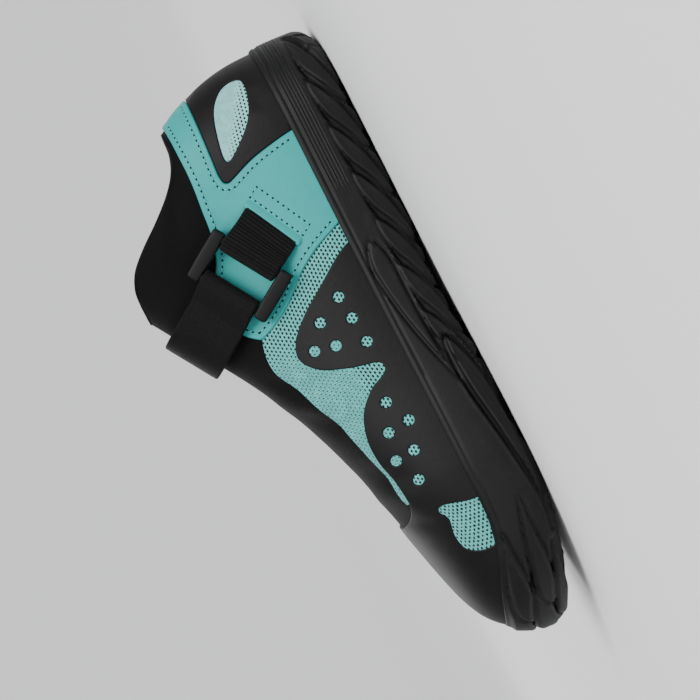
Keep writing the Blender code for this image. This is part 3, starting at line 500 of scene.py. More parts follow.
def round_of(turn):
    """Length round the form from the heel, minus on the medial side."""
    length = np.interp(either_side(turn), TABLE_TURNS, ROUND_TABLE)
    return np.where(np.mod(turn, 2 * math.pi) <= math.pi, length, -length)


def side_up_of(point):
    """Length up the form's side at points of it, along a section square to X."""
    x, z = point[:, 0], point[:, 2]
    levels = footbed_at(x) + np.linspace(0, 1, 49)[:, None] * (z - footbed_at(x))
    half = form_side(np.broadcast_to(x, levels.shape), levels)[1]
    return np.sum(np.hypot(np.diff(half, axis=0), np.diff(levels, axis=0)), axis=0)


def turn_and_rise(x, z, side):
    """Where a point of the side view lies on the form's lateral side or, with -1, the medial."""
    back, front = back_at(z), front_at(z)
    share = np.clip((x - back) / (front - back), 0.0, 1.0)
    turn = np.arccos(1 - 2 * share)
    bottom, rim, top = levels_at(turn)
    above = RIM_SHARE + (z - rim) / (top - rim) * (1 - RIM_SHARE)
    below = (z - bottom) / (rim - bottom) * RIM_SHARE
    return turn * side, np.where(z < rim, below, above)


# Creases of the worn-in upper: two ends in side view as shares like an edge's, then the
# height in millimetres, minus for a trough, the half width and the side
CREASES = [
    (0.455, 0.740, 0.520, 0.470, -0.94, 3.4, 1), (0.490, 0.720, 0.552, 0.500, 0.81, 3.8, 1),
    (0.530, 0.680, 0.590, 0.480, -0.74, 3.2, 1), (0.640, 0.575, 0.690, 0.400, -0.81, 3.6, 1),
    (0.680, 0.560, 0.725, 0.400, 0.74, 3.6, 1), (0.730, 0.525, 0.770, 0.380, -0.61, 3.0, 1),
    (0.120, 0.640, 0.210, 0.760, -0.68, 3.6, 1), (0.150, 0.700, 0.240, 0.860, 0.61, 4.0, 1),
    (0.060, 0.610, 0.180, 0.655, -0.47, 2.6, 1), (0.455, 0.740, 0.530, 0.480, -0.88, 3.6, -1),
    (0.500, 0.700, 0.565, 0.480, 0.74, 3.8, -1), (0.640, 0.575, 0.700, 0.410, -0.81, 3.6, -1),
    (0.690, 0.550, 0.740, 0.400, 0.68, 3.4, -1), (0.120, 0.640, 0.220, 0.780, -0.61, 3.6, -1),
    (0.070, 0.270, 0.100, 0.315, -0.55, 5.0, 1), (0.070, 0.270, 0.100, 0.315, -0.55, 5.0, -1),
]


def creases_at(point):
    """Height of the upper's soft troughs and ridges at points of the form."""
    height = np.zeros(point.shape[:-1])
    for along_0, up_0, along_1, up_1, crest, width, side in CREASES:
        x0, z0, x1, z1 = along_0 * LENGTH, up_0 * COLLAR_HEIGHT, along_1 * LENGTH, up_1 * COLLAR_HEIGHT
        way = np.array((x1 - x0, z1 - z0))
        length = np.linalg.norm(way)
        way /= length
        along = (point[..., 0] - x0) * way[0] + (point[..., 2] - z0) * way[1]
        across = (point[..., 2] - z0) * way[0] - (point[..., 0] - x0) * way[1]
        bow = 0.08 * length * np.sin(math.pi * np.clip(along / length, 0, 1))
        ends = ease(along / length * 2.5 + 0.25) * ease((1 - along / length) * 2.5 + 0.25)
        same_side = ease((point[..., 1] * side + 0.004) / 0.012)
        height += crest * MILLIMETRE * hump(across - bow, width * MILLIMETRE) * ends * same_side
    return height


def skin(turn, rise, height=0.0):
    """Point at a height over the creased form."""
    point = form_grid(turn, rise)
    settled = ease((np.asarray(rise) - RIM_SHARE) / 0.12) * ease((1.0 - np.asarray(rise)) / 0.04)
    lift = np.asarray(height) + creases_at(point) * settled
    return point + form_normal(turn, rise) * lift[..., None]


# Meshes
def linked(name, data):
    obj = bpy.data.objects.new(name, data)
    bpy.context.scene.collection.objects.link(obj)
    return obj


def piece(name, points, faces, finish, places=None, replaces=(), smooth_angle=180.0, turn_out=True):
    """A finished piece of the shoe from points and faces; places go to its pattern attribute."""
    points = np.asarray(points, float).reshape(-1, 3) - np.array([HEEL_REST, 0, 0])
    mesh = bpy.data.meshes.new(name)
    mesh.from_pydata(points.tolist(), [], [tuple(int(i) for i in f) for f in faces])
    if places is not None:
        attribute = mesh.attributes.new("place", "FLOAT_VECTOR", "POINT")
        attribute.data.foreach_set("vector", np.asarray(places, np.float32).reshape(-1))
    mesh.validate()
    mesh.materials.append(finish)
    mesh.shade_smooth()
    if smooth_angle < 180:
        mesh.set_sharp_from_angle(angle=math.radians(smooth_angle))
    obj = linked(name, mesh)
    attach(obj, "root")
    if replaces:
        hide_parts(*replaces)
    if turn_out:
        body = bmesh.new()
        body.from_mesh(mesh)
        bmesh.ops.recalc_face_normals(body, faces=body.faces)
        body.to_mesh(mesh)
        body.free()


def quads(rows, count, first=0):
    """Faces between closed rings of points, each of the same count."""
    faces = []
    for a in range(first, first + (rows - 1) * count, count):
        faces += [(a + i, a + j, a + count + j, a + count + i) for i, j in pairs_round(count)]
    return faces


def capped(rows, count, first=0):
    """Faces of a closed bar: its sides and both its ends."""
    faces = quads(rows, count, first)
    faces.append(tuple(range(first + count - 1, first - 1, -1)))
    faces.append(tuple(range(first + (rows - 1) * count, first + rows * count)))
    return faces


def lanes_across(ring, lanes):
    """The two halves of a closed ring, the lanes' shares of the way between them, and their points."""
    half = len(ring) // 2
    lateral, medial = ring[: half + 1], np.concatenate([ring[half:], ring[:1]])[::-1]
    share = np.linspace(0, 1, lanes + 2)[1:-1]
    return lateral, medial, share, lateral[None] + (medial - lateral)[None] * share[:, None, None]


def lane_faces(edge, count, first, lanes):
    """Faces of the lanes across a ring that starts at edge; the lanes' inner points start at first."""
    half = count // 2

    def at(lane, column):
        if lane == 0 or column in (0, half):
            return edge + column
        if lane == lanes + 1:
            return edge + count - column
        return first + (lane - 1) * (half - 1) + column - 1

    faces = []
    for lane in range(lanes + 1):
        for column in range(half):
            face = (at(lane, column), at(lane, column + 1), at(lane + 1, column + 1), at(lane + 1, column))
            face = tuple(dict.fromkeys(face))
            if len(face) > 2:
                faces.append(face)
    return faces


def faces_across(first, count):
    """Faces straight across a ring."""
    half, last = count // 2, first + count
    faces = [(first + i, first + i + 1, last - i - 1, last - i) for i in range(1, half - 1)]
    return faces + [(first, first + 1, last - 1), (first + half, first + half + 1, first + half - 1)]


# The upper: outside, rolled collar edge and lining in one closed wall
def make_upper(neoprene):
    turns = ring_turns(UPPER_COLUMNS)
    rows, places = [], []
    for rise in np.linspace(0, RIM_SHARE, 4, endpoint=False):
        rise = np.full_like(turns, rise)
        rows.append(skin(turns, rise))
        places.append((turns, rise, 0))
    rim_up, top_up = (up_of(turns, np.full_like(turns, rise)) for rise in (RIM_SHARE, 1.0))
    index = np.round(either_side(turns) / math.pi * TABLE_STEPS).astype(int)
    for share in np.linspace(0, 1, UPPER_ROWS):
        goal = rim_up + (top_up - rim_up) * share
        rise = np.array([np.interp(g, UP_TABLE[i], TABLE_RISES) for g, i in zip(goal, index)])
        rise = np.minimum(rise, 1 - (1 - COLLAR_EDGE) * ease((share - 0.9) / 0.1))
        rows.append(skin(turns, rise))
        places.append((turns, rise, 0))
    edge = np.full_like(turns, COLLAR_EDGE)
    middle = skin(turns, edge, np.full_like(turns, -UPPER_WALL / 2))
    outward = form_normal(turns, edge)
    up = np.array([0.0, 0.0, 1.0])
    for angle in np.radians([30, 60, 90, 120, 150]):
        rows.append(middle + UPPER_WALL / 2 * (outward * math.cos(angle) + up * math.sin(angle)))
        places.append((turns, edge, 0.5))
    for rise in np.linspace(COLLAR_EDGE, 0.0, LINING_ROWS):
        rise = np.full_like(turns, rise)
        rows.append(skin(turns, rise, np.full_like(turns, -UPPER_WALL)))
        places.append((turns, rise, 1))
    faces = quads(len(rows), UPPER_COLUMNS)
    last = (len(rows) - 1) * UPPER_COLUMNS
    faces += [(last + i, last + j, j, i) for i, j in pairs_round(UPPER_COLUMNS)]
    places = np.concatenate([
        np.stack([round_of(t) / MILLIMETRE, up_of(t, r) / MILLIMETRE, np.full_like(t, inside)], axis=1)
        for t, r, inside in places
    ])
    points = np.concatenate(rows)
    piece("bootie", points, faces, neoprene, places, ("upper",), turn_out=False)


# Overlays: outlines on the form, filled with triangles whose height falls away at the edge
def edge_on_form(rows, side, closed=False):
    """Turn and rise of an edge of an overlay, smoothed through its rows."""
    path = smooth_path(rows * (LENGTH, COLLAR_HEIGHT), POINTS_BETWEEN_ROWS, closed)
    return np.stack(turn_and_rise(path[:, 0], path[:, 1], side), axis=1)


def window_on_form(rows, side):
    path = edge_on_form(rows, side, True)
    path[:, 1] = np.maximum(path[:, 1], WINDOW_LOW)
    return path


def drain_on_form(drain, side):
    angle = ring_turns(DRAIN_POINTS)
    x = drain[0] * LENGTH + DRAIN_DIAMETER / 2 * np.cos(angle)
    z = drain[1] * COLLAR_HEIGHT + DRAIN_DIAMETER / 2 * np.sin(angle)
    return np.stack(turn_and_rise(x, z, side), axis=1)


def flat_of(spots):
    """Flat coordinates in which an overlay is filled with triangles."""
    return np.stack([spots[:, 0] * FLAT_RADIUS, up_of(spots[:, 0], spots[:, 1])], axis=1)


def distance_to(points, line):
    """Least distance from each point to a closed line, in as many dimensions as they have."""
    gap = np.roll(line, -1, axis=0) - line
    size = np.maximum(np.sum(gap * gap, axis=1), 1e-16)
    least = []
    for low in range(0, len(points), POINTS_AT_ONCE):
        some = points[low : low + POINTS_AT_ONCE, None, :] - line[None]
        share = np.clip(np.sum(some * gap, axis=2) / size, 0, 1)
        least.append(np.linalg.norm(some - share[..., None] * gap, axis=2).min(axis=1))
    return np.concatenate(least)


def inside_of(points, line):
    """Whether flat points lie within a closed flat line."""
    a, b = line, np.roll(line, -1, axis=0)
    x, y = points[:, None, 0], points[:, None, 1]
    crosses = (a[:, 1] > y) != (b[:, 1] > y)
    with np.errstate(divide="ignore", invalid="ignore"):
        at = a[:, 0] + (y - a[:, 1]) / (b[:, 1] - a[:, 1]) * (b[:, 0] - a[:, 0])
    return (crosses & (x < at)).sum(axis=1) % 2 == 1


def within(points, outlines):
    inside = inside_of(points, outlines[0])
    for hole in outlines[1:]:
        inside &= ~inside_of(points, hole)
    return inside


def inner_rings(outline, insets, inward_sign):
    """Spots on the form at each inset from an outline, towards the inside of the overlay."""
    turn, rise = outline[:, 0], outline[:, 1]
    by_turn, by_rise = (change / (2 * FORM_STEP) for change in form_changes(turn, rise))
    point = form_grid(turn, rise)
    along = np.roll(point, -1, axis=0) - np.roll(point, 1, axis=0)
    along /= np.maximum(np.linalg.norm(along, axis=1, keepdims=True), 1e-12)
    way = np.cross(along, form_normal(turn, rise)) * inward_sign
    a, b, c = np.sum(by_turn**2, axis=1), np.sum(by_turn * by_rise, axis=1), np.sum(by_rise**2, axis=1)
    p, q = np.sum(way * by_turn, axis=1), np.sum(way * by_rise, axis=1)
    det = np.maximum(a * c - b * b, 1e-14)
    change = np.stack([(c * p - b * q) / det, (a * q - b * p) / det], axis=1)
    return [outline + inset * change for inset in insets]


def turned_round(flat):
    area = np.sum(flat[:, 0] * np.roll(flat[:, 1], -1) - flat[:, 1] * np.roll(flat[:, 0], -1))
    return math.copysign(1.0, area)


def evened(points, triangles):
    """The same triangles with their shared edges turned to even them out on the form."""
    body = bmesh.new()
    corners = [body.verts.new(p) for p in points.tolist()]
    body.verts.index_update()
    for triangle in triangles:
        body.faces.new([corners[i] for i in triangle])
    inner = [edge for edge in body.edges if len(edge.link_faces) == 2]
    bmesh.ops.beautify_fill(body, faces=body.faces[:], edges=inner, method="ANGLE")
    result = np.array([[v.index for v in face.verts] for face in body.faces])
    body.free()
    return result


def overlay_points(rings, flats, solid_rings):
    """Turns and rises of the points that fill an overlay, the rings' own first."""
    spots, bands = [], []
    for number, (ring, flat) in enumerate(zip(rings, flats)):
        way = turned_round(flat) * (1 if number == 0 else -1)
        insets = EDGE_INSETS if number == 0 else WINDOW_INSETS
        for inset, moved in zip(insets, inner_rings(ring, insets, way)):
            spots.append(moved)
            bands.append(np.full(len(moved), inset))
    outline = rings[0]
    turns = np.arange(-2 * TABLE_STEPS, 2 * TABLE_STEPS + 1, 3) / TABLE_STEPS * math.pi
    turns = turns[(turns > outline[:, 0].min()) & (turns < outline[:, 0].max())]
    highest = up_of(outline[:, 0], outline[:, 1]).max()
    for turn in turns:
        column = int(round(float(either_side(turn)) / math.pi * TABLE_STEPS))
        up = np.arange(0, highest, OVERLAY_GRID)
        up = up[up < UP_TABLE[column, -1]]
        rise = np.interp(up, UP_TABLE[column], TABLE_RISES)
        spots.append(np.stack([np.full_like(rise, turn), rise], axis=1))
        bands.append(np.full(len(rise), np.inf))
    spots, bands = np.concatenate(spots), np.concatenate(bands)
    keep = within(flat_of(spots), flats)
    spots, bands = spots[keep], bands[keep]
    at = form_grid(spots[:, 0], spots[:, 1])
    away = np.array([distance_to(at, ring) for ring in solid_rings])
    last = np.array([EDGE_INSETS[-1]] + [WINDOW_INSETS[-1]] * (len(rings) - 1)) + 0.6 * OVERLAY_GRID
    keep = np.where(np.isinf(bands), (away - last[:, None]).min(axis=0) > 0, away.min(axis=0) > 0.93 * bands)
    return np.concatenate([*rings, spots[keep]])


def filled_with_triangles(name, flat, rings, flats):
    """Triangles between the flat points inside the outline and outside its holes."""
    edges, start = [], 0
    for ring in rings:
        edges += [(start + i, start + j) for i, j in pairs_round(len(ring))]
        start += len(ring)
    found = delaunay_2d_cdt([Vector(p) for p in flat.tolist()], edges, [], 0, 1e-7)
    source = np.array([o[0] if o else -1 for o in found[3]])
    if (source < 0).any():
        raise ValueError(f"the outline of {name} crosses itself")
    triangles = np.array([source[list(f)] for f in found[2]])
    triangles = triangles[within(flat[triangles].mean(axis=1), flats)]
    triangles = triangles[(triangles[:, 0] != triangles[:, 1]) & (triangles[:, 1] != triangles[:, 2])]
    a, b, c = (flat[triangles[:, k]] for k in range(3))
    area = (b[:, 0] - a[:, 0]) * (c[:, 1] - a[:, 1]) - (b[:, 1] - a[:, 1]) * (c[:, 0] - a[:, 0])
    return np.where((area < 0)[:, None], triangles[:, ::-1], triangles)[np.abs(area) > 1e-14]


def overlay_piece(name, outline, holes, under, thickness, finish, node, rounding, by_x=False):
    """A sheet of a thickness on the form inside an outline, with rounded edges and holes."""
    rings = [outline, *holes]
    flats = [flat_of(ring) for ring in rings]
    solid_rings = [form_grid(ring[:, 0], ring[:, 1]) for ring in rings]
    corners = overlay_points(rings, flats, solid_rings)
    on_form = form_grid(corners[:, 0], corners[:, 1])
    triangles = evened(on_form, filled_with_triangles(name, flat_of(corners), rings, flats))
    inset = np.min([distance_to(on_form, ring) for ring in solid_rings], axis=0)
    share = np.clip(inset / (rounding * MILLIMETRE), 0, 1)
    height = under + thickness * (0.30 + 0.70 * np.sqrt(np.clip(1 - (1 - share) ** 2, 0, 1)))
    top = skin(corners[:, 0], corners[:, 1], height)
    bottom = skin(corners[:, 0], corners[:, 1], np.full(len(corners), under * 0.5))
    count = len(corners)
    faces = [tuple(t) for t in triangles[:, ::-1]] + [tuple(t + count) for t in triangles]
    start = 0
    for ring in rings:
        walls = [(start + i, start + j) for i, j in pairs_round(len(ring))]
        faces += [(a, b, b + count, a + count) for a, b in walls]
        start += len(ring)
    around, up = round_of(corners[:, 0]), up_of(corners[:, 0], corners[:, 1])
    if by_x:
        around, up = on_form[:, 0], side_up_of(on_form)
    places = np.stack([around, up, inset], axis=1) / MILLIMETRE
    points = np.concatenate([top, bottom])
    piece(name, points, faces, finish, np.concatenate([places, places]), (node,), smooth_angle=50)


def along_rim(start, finish, count):
    """Spots just above the rim between two turns."""
    turn = np.linspace(start, finish, count)[1:-1]
    return np.stack([turn, np.full_like(turn, OVERLAY_LOW)], axis=1)


def round_the_heel(half):
    """Closed outline from the lateral half of it, which starts and ends at the heel's middle."""
    return np.concatenate([half, (half * (-1.0, 1.0))[::-1][1:-1]])


def at_heel(up):
    """The spot at the heel's middle at a share of the collar's height."""
    return np.array([(0.0, turn_and_rise(0.0, up * COLLAR_HEIGHT, 1)[1])])


def moved_on_form(path, inset):
    """An open path moved to its left or right on the form."""
    longer = np.concatenate([path[:1] * 2 - path[1:2], path, path[-1:] * 2 - path[-2:-1]])
    return inner_rings(longer, [inset], 1.0)[0][1:-1]


def cut_at_rim(path):
    """A path that starts below the rim, from where it passes the rim."""
    first = int(np.argmax(path[:, 1] > OVERLAY_LOW + 0.004))
    start = path[0]
    if first:
        before, after = path[first - 1], path[first]
        start = before + (OVERLAY_LOW - before[1]) / (after[1] - before[1]) * (after - before)
    start[1] = OVERLAY_LOW
    return np.concatenate([start[None], path[first:]])


def wing_edges(side):
    rear, top, front = (edge_on_form(rows, side) for rows in (WING_REAR, BAND_TOP, WING_FRONT))
    rear, top = (path[np.abs(path[:, 0]) > HEEL_TURN] for path in (rear, top))
    return cut_at_rim(rear), top, cut_at_rim(front[::-1])[::-1]


def wrap_outline():
    rear, top, front = wing_edges(1)
    half = [at_heel(WRAP_HEEL_LOW), rear[::-1], along_rim(rear[0, 0], front[-1, 0], 40)]
    half += [front[::-1], top[::-1][1:], at_heel(WRAP_HEEL_TOP)]
    return round_the_heel(np.concatenate(half))


def counter_outline():
    rear = wing_edges(1)[0]
    inner = cut_at_rim(moved_on_form(rear, COUNTER_INSET))
    rim = along_rim(inner[0, 0], 0.0, 24)
    return round_the_heel(np.concatenate([at_heel(COUNTER_HEEL_TOP), inner[::-1], rim, [(0.0, OVERLAY_LOW)]]))


def toe_film_outline():
    lobes = cut_at_rim(edge_on_form(LOBES, 1))
    crossing = FILM_TOP * LENGTH
    ridge_rise = turn_and_rise(crossing, top_of(crossing) - 1e-5, 1)[1]
    share = np.linspace(0, 1, 12)[1:, None]
    half = np.concatenate([lobes, lobes[-1] + share * (np.array([math.pi, ridge_rise]) - lobes[-1])])
    other = half * (-1.0, 1.0) + (2 * math.pi, 0.0)
    rim = along_rim(2 * math.pi - lobes[0, 0], lobes[0, 0], 150)
    return np.concatenate([half, other[::-1][1:], rim])


def vamp_mesh_outline(side):
    front = wing_edges(side)[2]
    front = cut_at_rim(moved_on_form(front, -VAMP_INSET * side)[::-1])[::-1]
    top = edge_on_form(MESH_TOP, side)
    end = cut_at_rim(edge_on_form(MESH_END, side)[::-1])[::-1]
    rim = along_rim(front[-1, 0], end[-1, 0], 90)
    return np.concatenate([top, end, rim[::-1], front[::-1][:-1]])


# Stitches
def stitch_run(line, normals, pitch=STITCH_PITCH):
    """Middles, ways, normals and needle holes of the stitches along a line of points."""
    even = even_path(np.concatenate([line, normals * 1e-6], axis=1), pitch)
    knots, normals = even[:, :3], unit(even[:, 3:])
    ways = unit(knots[1:] - knots[:-1])
    hole_ways = np.concatenate([ways, ways[-1:]])
    return (knots[1:] + knots[:-1]) / 2, ways, (normals[1:] + normals[:-1]) / 2, knots, normals, hole_ways


def sewn_on_wrap(spots):
    along = np.arange(len(spots))
    fine = np.linspace(0, len(spots) - 1, 8 * len(spots))
    turn, rise = (np.interp(fine, along, spots[:, k]) for k in range(2))
    line = skin(turn, rise, np.full(len(fine), CLEARANCE + WRAP_THICKNESS + THREAD_LIFT))
    return stitch_run(line, form_normal(turn, rise))


def sewn_on_strap_plane(corners, height, pitch=STITCH_PITCH):
    """Stitches round a box whose corners are given across and along the strap."""
    corners = np.array(corners) * MILLIMETRE
    shares = np.linspace(0, 1, 15)[:-1, None]
    line = np.concatenate([start + (finish - start) * shares for start, finish in zip(corners, corners[1:])])
    line = np.round(np.concatenate([line, corners[-1:]]), 6)
    at, over = (
        np.array([on_girth(across, along, up) for across, along in line])
        for up in (height, height + MILLIMETRE)
    )
    return stitch_run(at, over - at, pitch)


def stitch_points(middle, way, normal):
    """A short sewn thread: a tapered bead that dips into the cloth at both ends."""
    across = np.cross(normal, way)
    way = way + STITCH_TILT * across
    points = []
    for share, size in STITCH_BEAD:
        centre = middle + way * STITCH_LENGTH / 2 * share + normal * STITCH_THICKNESS * (0.22 - 0.62 * share**4)
        for angle in ring_turns(STITCH_SIDES):
            side = across * math.cos(angle) + normal * 0.8 * math.sin(angle)
            points.append(centre + side * STITCH_THICKNESS / 2 * size)
    return points


def stitches_piece(name, runs, finish):
    points, faces = [], []
    for middles, ways, normals, *_ in runs:
        for middle, way, normal in zip(middles, ways, normals):
            faces += capped(len(STITCH_BEAD), STITCH_SIDES, len(points))
            points += stitch_points(middle, way, normal)
    piece(name, points, faces, finish)


def needle_holes_piece(name, runs, finish):
    """Small dark pricks, a little sunk, where the thread goes through."""
    points, faces = [], []
    for *_, knots, normals, ways in runs:
        for knot, normal, way in zip(knots, normals, ways):
            first = len(points)
            top, bottom = first + HOLE_SIDES, first + HOLE_SIDES + 1
            across = np.cross(normal, way)
            for angle in ring_turns(HOLE_SIDES):
                rim = way * math.cos(angle) * 0.5 + across * math.sin(angle) * 0.36
                points.append(knot + rim * NEEDLE_HOLE + normal * 0.00002)
            points += [knot + normal * 0.00007, knot - normal * 0.0003]
            for i, j in pairs_round(HOLE_SIDES):
                faces += [(first + i, first + j, top), (first + j, first + i, bottom)]
    piece(name, points, faces, finish)


# Sole
def foot_ring(turn, out, up):
    """Points beside the form's foot: out from its outline, at a share of the side's height."""
    foot = form_grid(turn, 0.0)
    outward = form_normal(turn, 0.0)
    outward[:, 2] = 0
    outward = unit(outward)
    rim = form_grid(turn, RIM_SHARE)
    low = ground_at(foot[:, 0])
    z = low + np.asarray(up) * (rim[:, 2] - low)
    at = form_point(turn, np.clip(z, foot[:, 2], rim[:, 2]))
    at = np.where((z > foot[:, 2])[:, None], at, foot)
    point = at + outward * np.asarray(out)[..., None]
    point[:, 2] = z
    return point, outward


def leaf_distance(x, y, lug):
    """Signed distance in millimetres to a leaf with a round rear end and a pointed front one."""
    rear, front = np.array((lug.rear_x, lug.rear_down)), np.array((lug.front_x, lug.front_down))
    way = front - rear
    length = np.linalg.norm(way)
    way = way / length
    along = (x - rear[0]) * way[0] + (y - rear[1]) * way[1]
    across = (y - rear[1]) * way[0] - (x - rear[0]) * way[1]
    share = np.clip(along / length, 0.0, 1.0)
    spine = lug.bend * 4 * share * (1 - share)
    blunt = np.sqrt(np.clip(1 - (1 - np.clip(share / lug.shoulder, 0, 1)) ** 2, 0, 1))
    taper = 1 - np.clip((share - 0.8 * lug.shoulder) / (1 - 0.8 * lug.shoulder), 0, 1) ** 1.35
    half = lug.belly * blunt * taper
    beyond = np.maximum(np.maximum(-along, along - length), 0.0)
    aside = np.abs(across - spine) - half
    return np.hypot(np.maximum(aside, 0.0), beyond) + np.minimum(aside, 0.0)


def carved(x, y, lugs):
    """Distance to the nearest visible outline when each leaf lies over those before it."""
    field = np.full(np.shape(x), 50.0)
    for lug in lugs:
        distance = leaf_distance(x, y, lug)
        field = np.where(distance < 0, -distance, np.minimum(field, distance))
    return field


def cut_depth(field, width=GROOVE_WIDTH_MM):
    """Share of a groove's depth at a distance from its middle line, with rounded shoulders."""
    return 1 - ease((field - 0.30 * width) / (0.75 * width))


def sole_relief(x, down, heel_way):
    """Height of the outsole's carving in metres, from x, the length down from the rim and the length
    round from the heel's middle, all in millimetres."""
    lugs = EDGE_LUGS + MIDDLE_LUGS + INNER_LUGS + FOREFOOT_LUGS
    tread = ease((x - 2.0) / 3.0) * ease((251.0 - x) / 6.0) * ease((down - 12.0) / 3.0)
    field = carved(x, down, lugs)
    relief = (GROOVE_SHOULDER * hump(field - 1.9, 0.6) - GROOVE_DEPTH * cut_depth(field)) * tread
    leaf = leaf_distance(x, down, SIDE_LEAF)
    relief -= SIDE_LEAF_GROOVE * cut_depth(np.abs(leaf), 1.15)
    relief += SIDE_LEAF_HEIGHT * ease((-leaf) / 2.0)
    for front_x, front_down, reach_x, reach_down in HEEL_DIMPLES:
        spot = np.hypot((x - front_x) / reach_x, (down - front_down) / reach_down)
        relief -= DIMPLE_DEPTH * (1 - ease((spot - 0.7) / 0.5))
    ridge_zone = ease((down - 2.2) / 1.2) * ease((13.0 - down) / 2.5) * ease((88.0 - x) / 26.0)
    relief += FINE_RIDGE_HEIGHT * np.cos(2 * math.pi * down / FINE_RIDGE_PITCH_MM) * ridge_zone
    relief -= LIP_GROOVE_DEPTH * (hump(down - 2.4, 0.55) * ease((232.0 - x) / 20.0))
    notches = np.abs(np.mod(heel_way, HEEL_NOTCH_PITCH_MM) - HEEL_NOTCH_PITCH_MM / 2) - 0.2
    relief -= HEEL_NOTCH_DEPTH * cut_depth(notches, 1.2) * ease((16.0 - x) / 8.0) * ease((down - 17.0) / 3.0)
    return relief


def toe_relief(way, up):
    """Overlapping lobes round the toe: way is in millimetres back from the tip, up the height."""
    height = np.zeros_like(way)
    for lobe in TOE_LOBES:
        distance = leaf_distance(way, up, lobe)
        raised = TOE_LOBE_HEIGHT * ease(-distance / 3.0) + TOE_LOBE_RIM * hump(distance + 1.4, 0.9)
        height = np.where(distance < 0, np.maximum(height * 0.2, raised), height)
        height -= TOE_LOBE_GROOVE * hump(distance - 0.5, 0.8) * (distance >= 0)
    return height


def sole_outline_way(turns):
    """Length round the sole from the toe's tip in millimetres, plus on the lateral side."""
    length = lengths_along(foot_ring(turns, SOLE_FLANGE, 0.4)[0])
    return (length[len(turns) // 2] - length) / MILLIMETRE


def make_sole(rubber):
    turns, half = ring_turns(SOLE_COLUMNS), SOLE_COLUMNS // 2
    way = np.abs(sole_outline_way(turns))
    heel_way = np.abs(way.max() - way)

    # The side, from the rim to the bottom's edge
    ups = np.linspace(1, 0, SOLE_ROWS) ** 1.12
    rows = np.array([foot_ring(turns, through(*SIDE.T, up) * SOLE_FLANGE, up)[0] for up in ups])
    rows[-1][:, 2] = ground_at(rows[-1][:, 0])
    steps = np.linalg.norm(np.diff(rows, axis=0), axis=2)
    down = np.concatenate([np.zeros((1, SOLE_COLUMNS)), np.cumsum(steps, axis=0)]) / MILLIMETRE
    normal = unit(np.cross(np.roll(rows, -1, axis=1) - np.roll(rows, 1, axis=1), np.gradient(rows, axis=0)))
    outward = rows - rows.mean(axis=1, keepdims=True)
    normal *= np.where(np.sum(normal * outward, axis=2) < 0, -1, 1)[..., None]
    x, up = rows[..., 0] / MILLIMETRE, rows[..., 2] / MILLIMETRE
    ways = np.broadcast_to(way, x.shape)
    relief = sole_relief(x, down, heel_way) * ease(down / 1.2)
    toe_share = ease((TOE_LOBES_REACH_MM - ways) / TOE_LOBES_FADE_MM) * ease(down / 4.0)
    relief += toe_relief(ways, up) * toe_share
    relief -= np.where(up < 0.6, np.maximum(relief, 0), 0)
    shaped = rows + normal * relief[..., None]
    shaped[..., 2] = np.maximum(shaped[..., 2], 0.0)
    # The third value, the share of a groove's depth, darkens the rubber there as painted shade.
    side_places = np.stack([ways, down, np.clip(-relief / GROOVE_DEPTH, 0, 1)], axis=2)

    # The tread
    lateral, medial, share, tread = lanes_across(shaped[-1], TREAD_LANES)
    reach = np.linalg.norm(medial - lateral, axis=1) / MILLIMETRE
    inward = np.minimum(share, 1 - share)[:, None] * reach[None]
    lane_down = down[-1][: half + 1][None] + inward
    tread_x = tread[..., 0] / MILLIMETRE
    carving = sole_relief(tread_x, lane_down, heel_way[: half + 1])
    settle = ease(inward / 2.0)
    edge_relief = relief[-1][: half + 1][None] * (1 - settle)
    depth = np.maximum(-carving, 0) * settle + np.maximum(-edge_relief, 0)
    tread[..., 2] = ground_at(tread[..., 0]) + depth
    # Here too the third value darkens the rubber in the grooves as painted shade.
    tread_places = np.stack([tread_x, lane_down, np.clip(depth / GROOVE_DEPTH, 0, 1)], axis=2)

    # The rolled rim and the cup
    rises = np.linspace(RIM_SHARE, 0, 5)
    cup = [form_grid(turns, rise) + CLEARANCE * form_normal(turns, rise) for rise in rises]
    cup[0][:, 2] = rows[0][:, 2]
    cup[-1][:, 2] = footbed_at(cup[-1][:, 0])
    roll = []
    for angle in np.radians([45, 90, 135]):
        lifted = (shaped[0] + cup[0]) / 2 + (shaped[0] - cup[0]) / 2 * math.cos(angle)
        lifted[:, 2] += LIP_ROLL * math.sin(angle)
        roll.append(lifted)
    inside = np.array(roll + cup)
    inside_places = np.zeros(inside.shape)
    inside_places[..., 0] = way

    points = [shaped, tread[:, 1:half], inside]
    places = [side_places, tread_places[:, 1:half], inside_places]
    first = SOLE_ROWS * SOLE_COLUMNS
    start = first + TREAD_LANES * (half - 1)
    faces = quads(SOLE_ROWS, SOLE_COLUMNS)
    faces += lane_faces(first - SOLE_COLUMNS, SOLE_COLUMNS, first, TREAD_LANES)
    faces += [(i, start + i, start + j, j) for i, j in pairs_round(SOLE_COLUMNS)]
    faces += quads(len(inside), SOLE_COLUMNS, start)
    faces += faces_across(start + (len(inside) - 1) * SOLE_COLUMNS, SOLE_COLUMNS)
    points, places = (np.concatenate([part.reshape(-1, 3) for part in parts]) for parts in (points, places))
    piece("outsole", points, faces, rubber, places, ("sole",), smooth_angle=60)


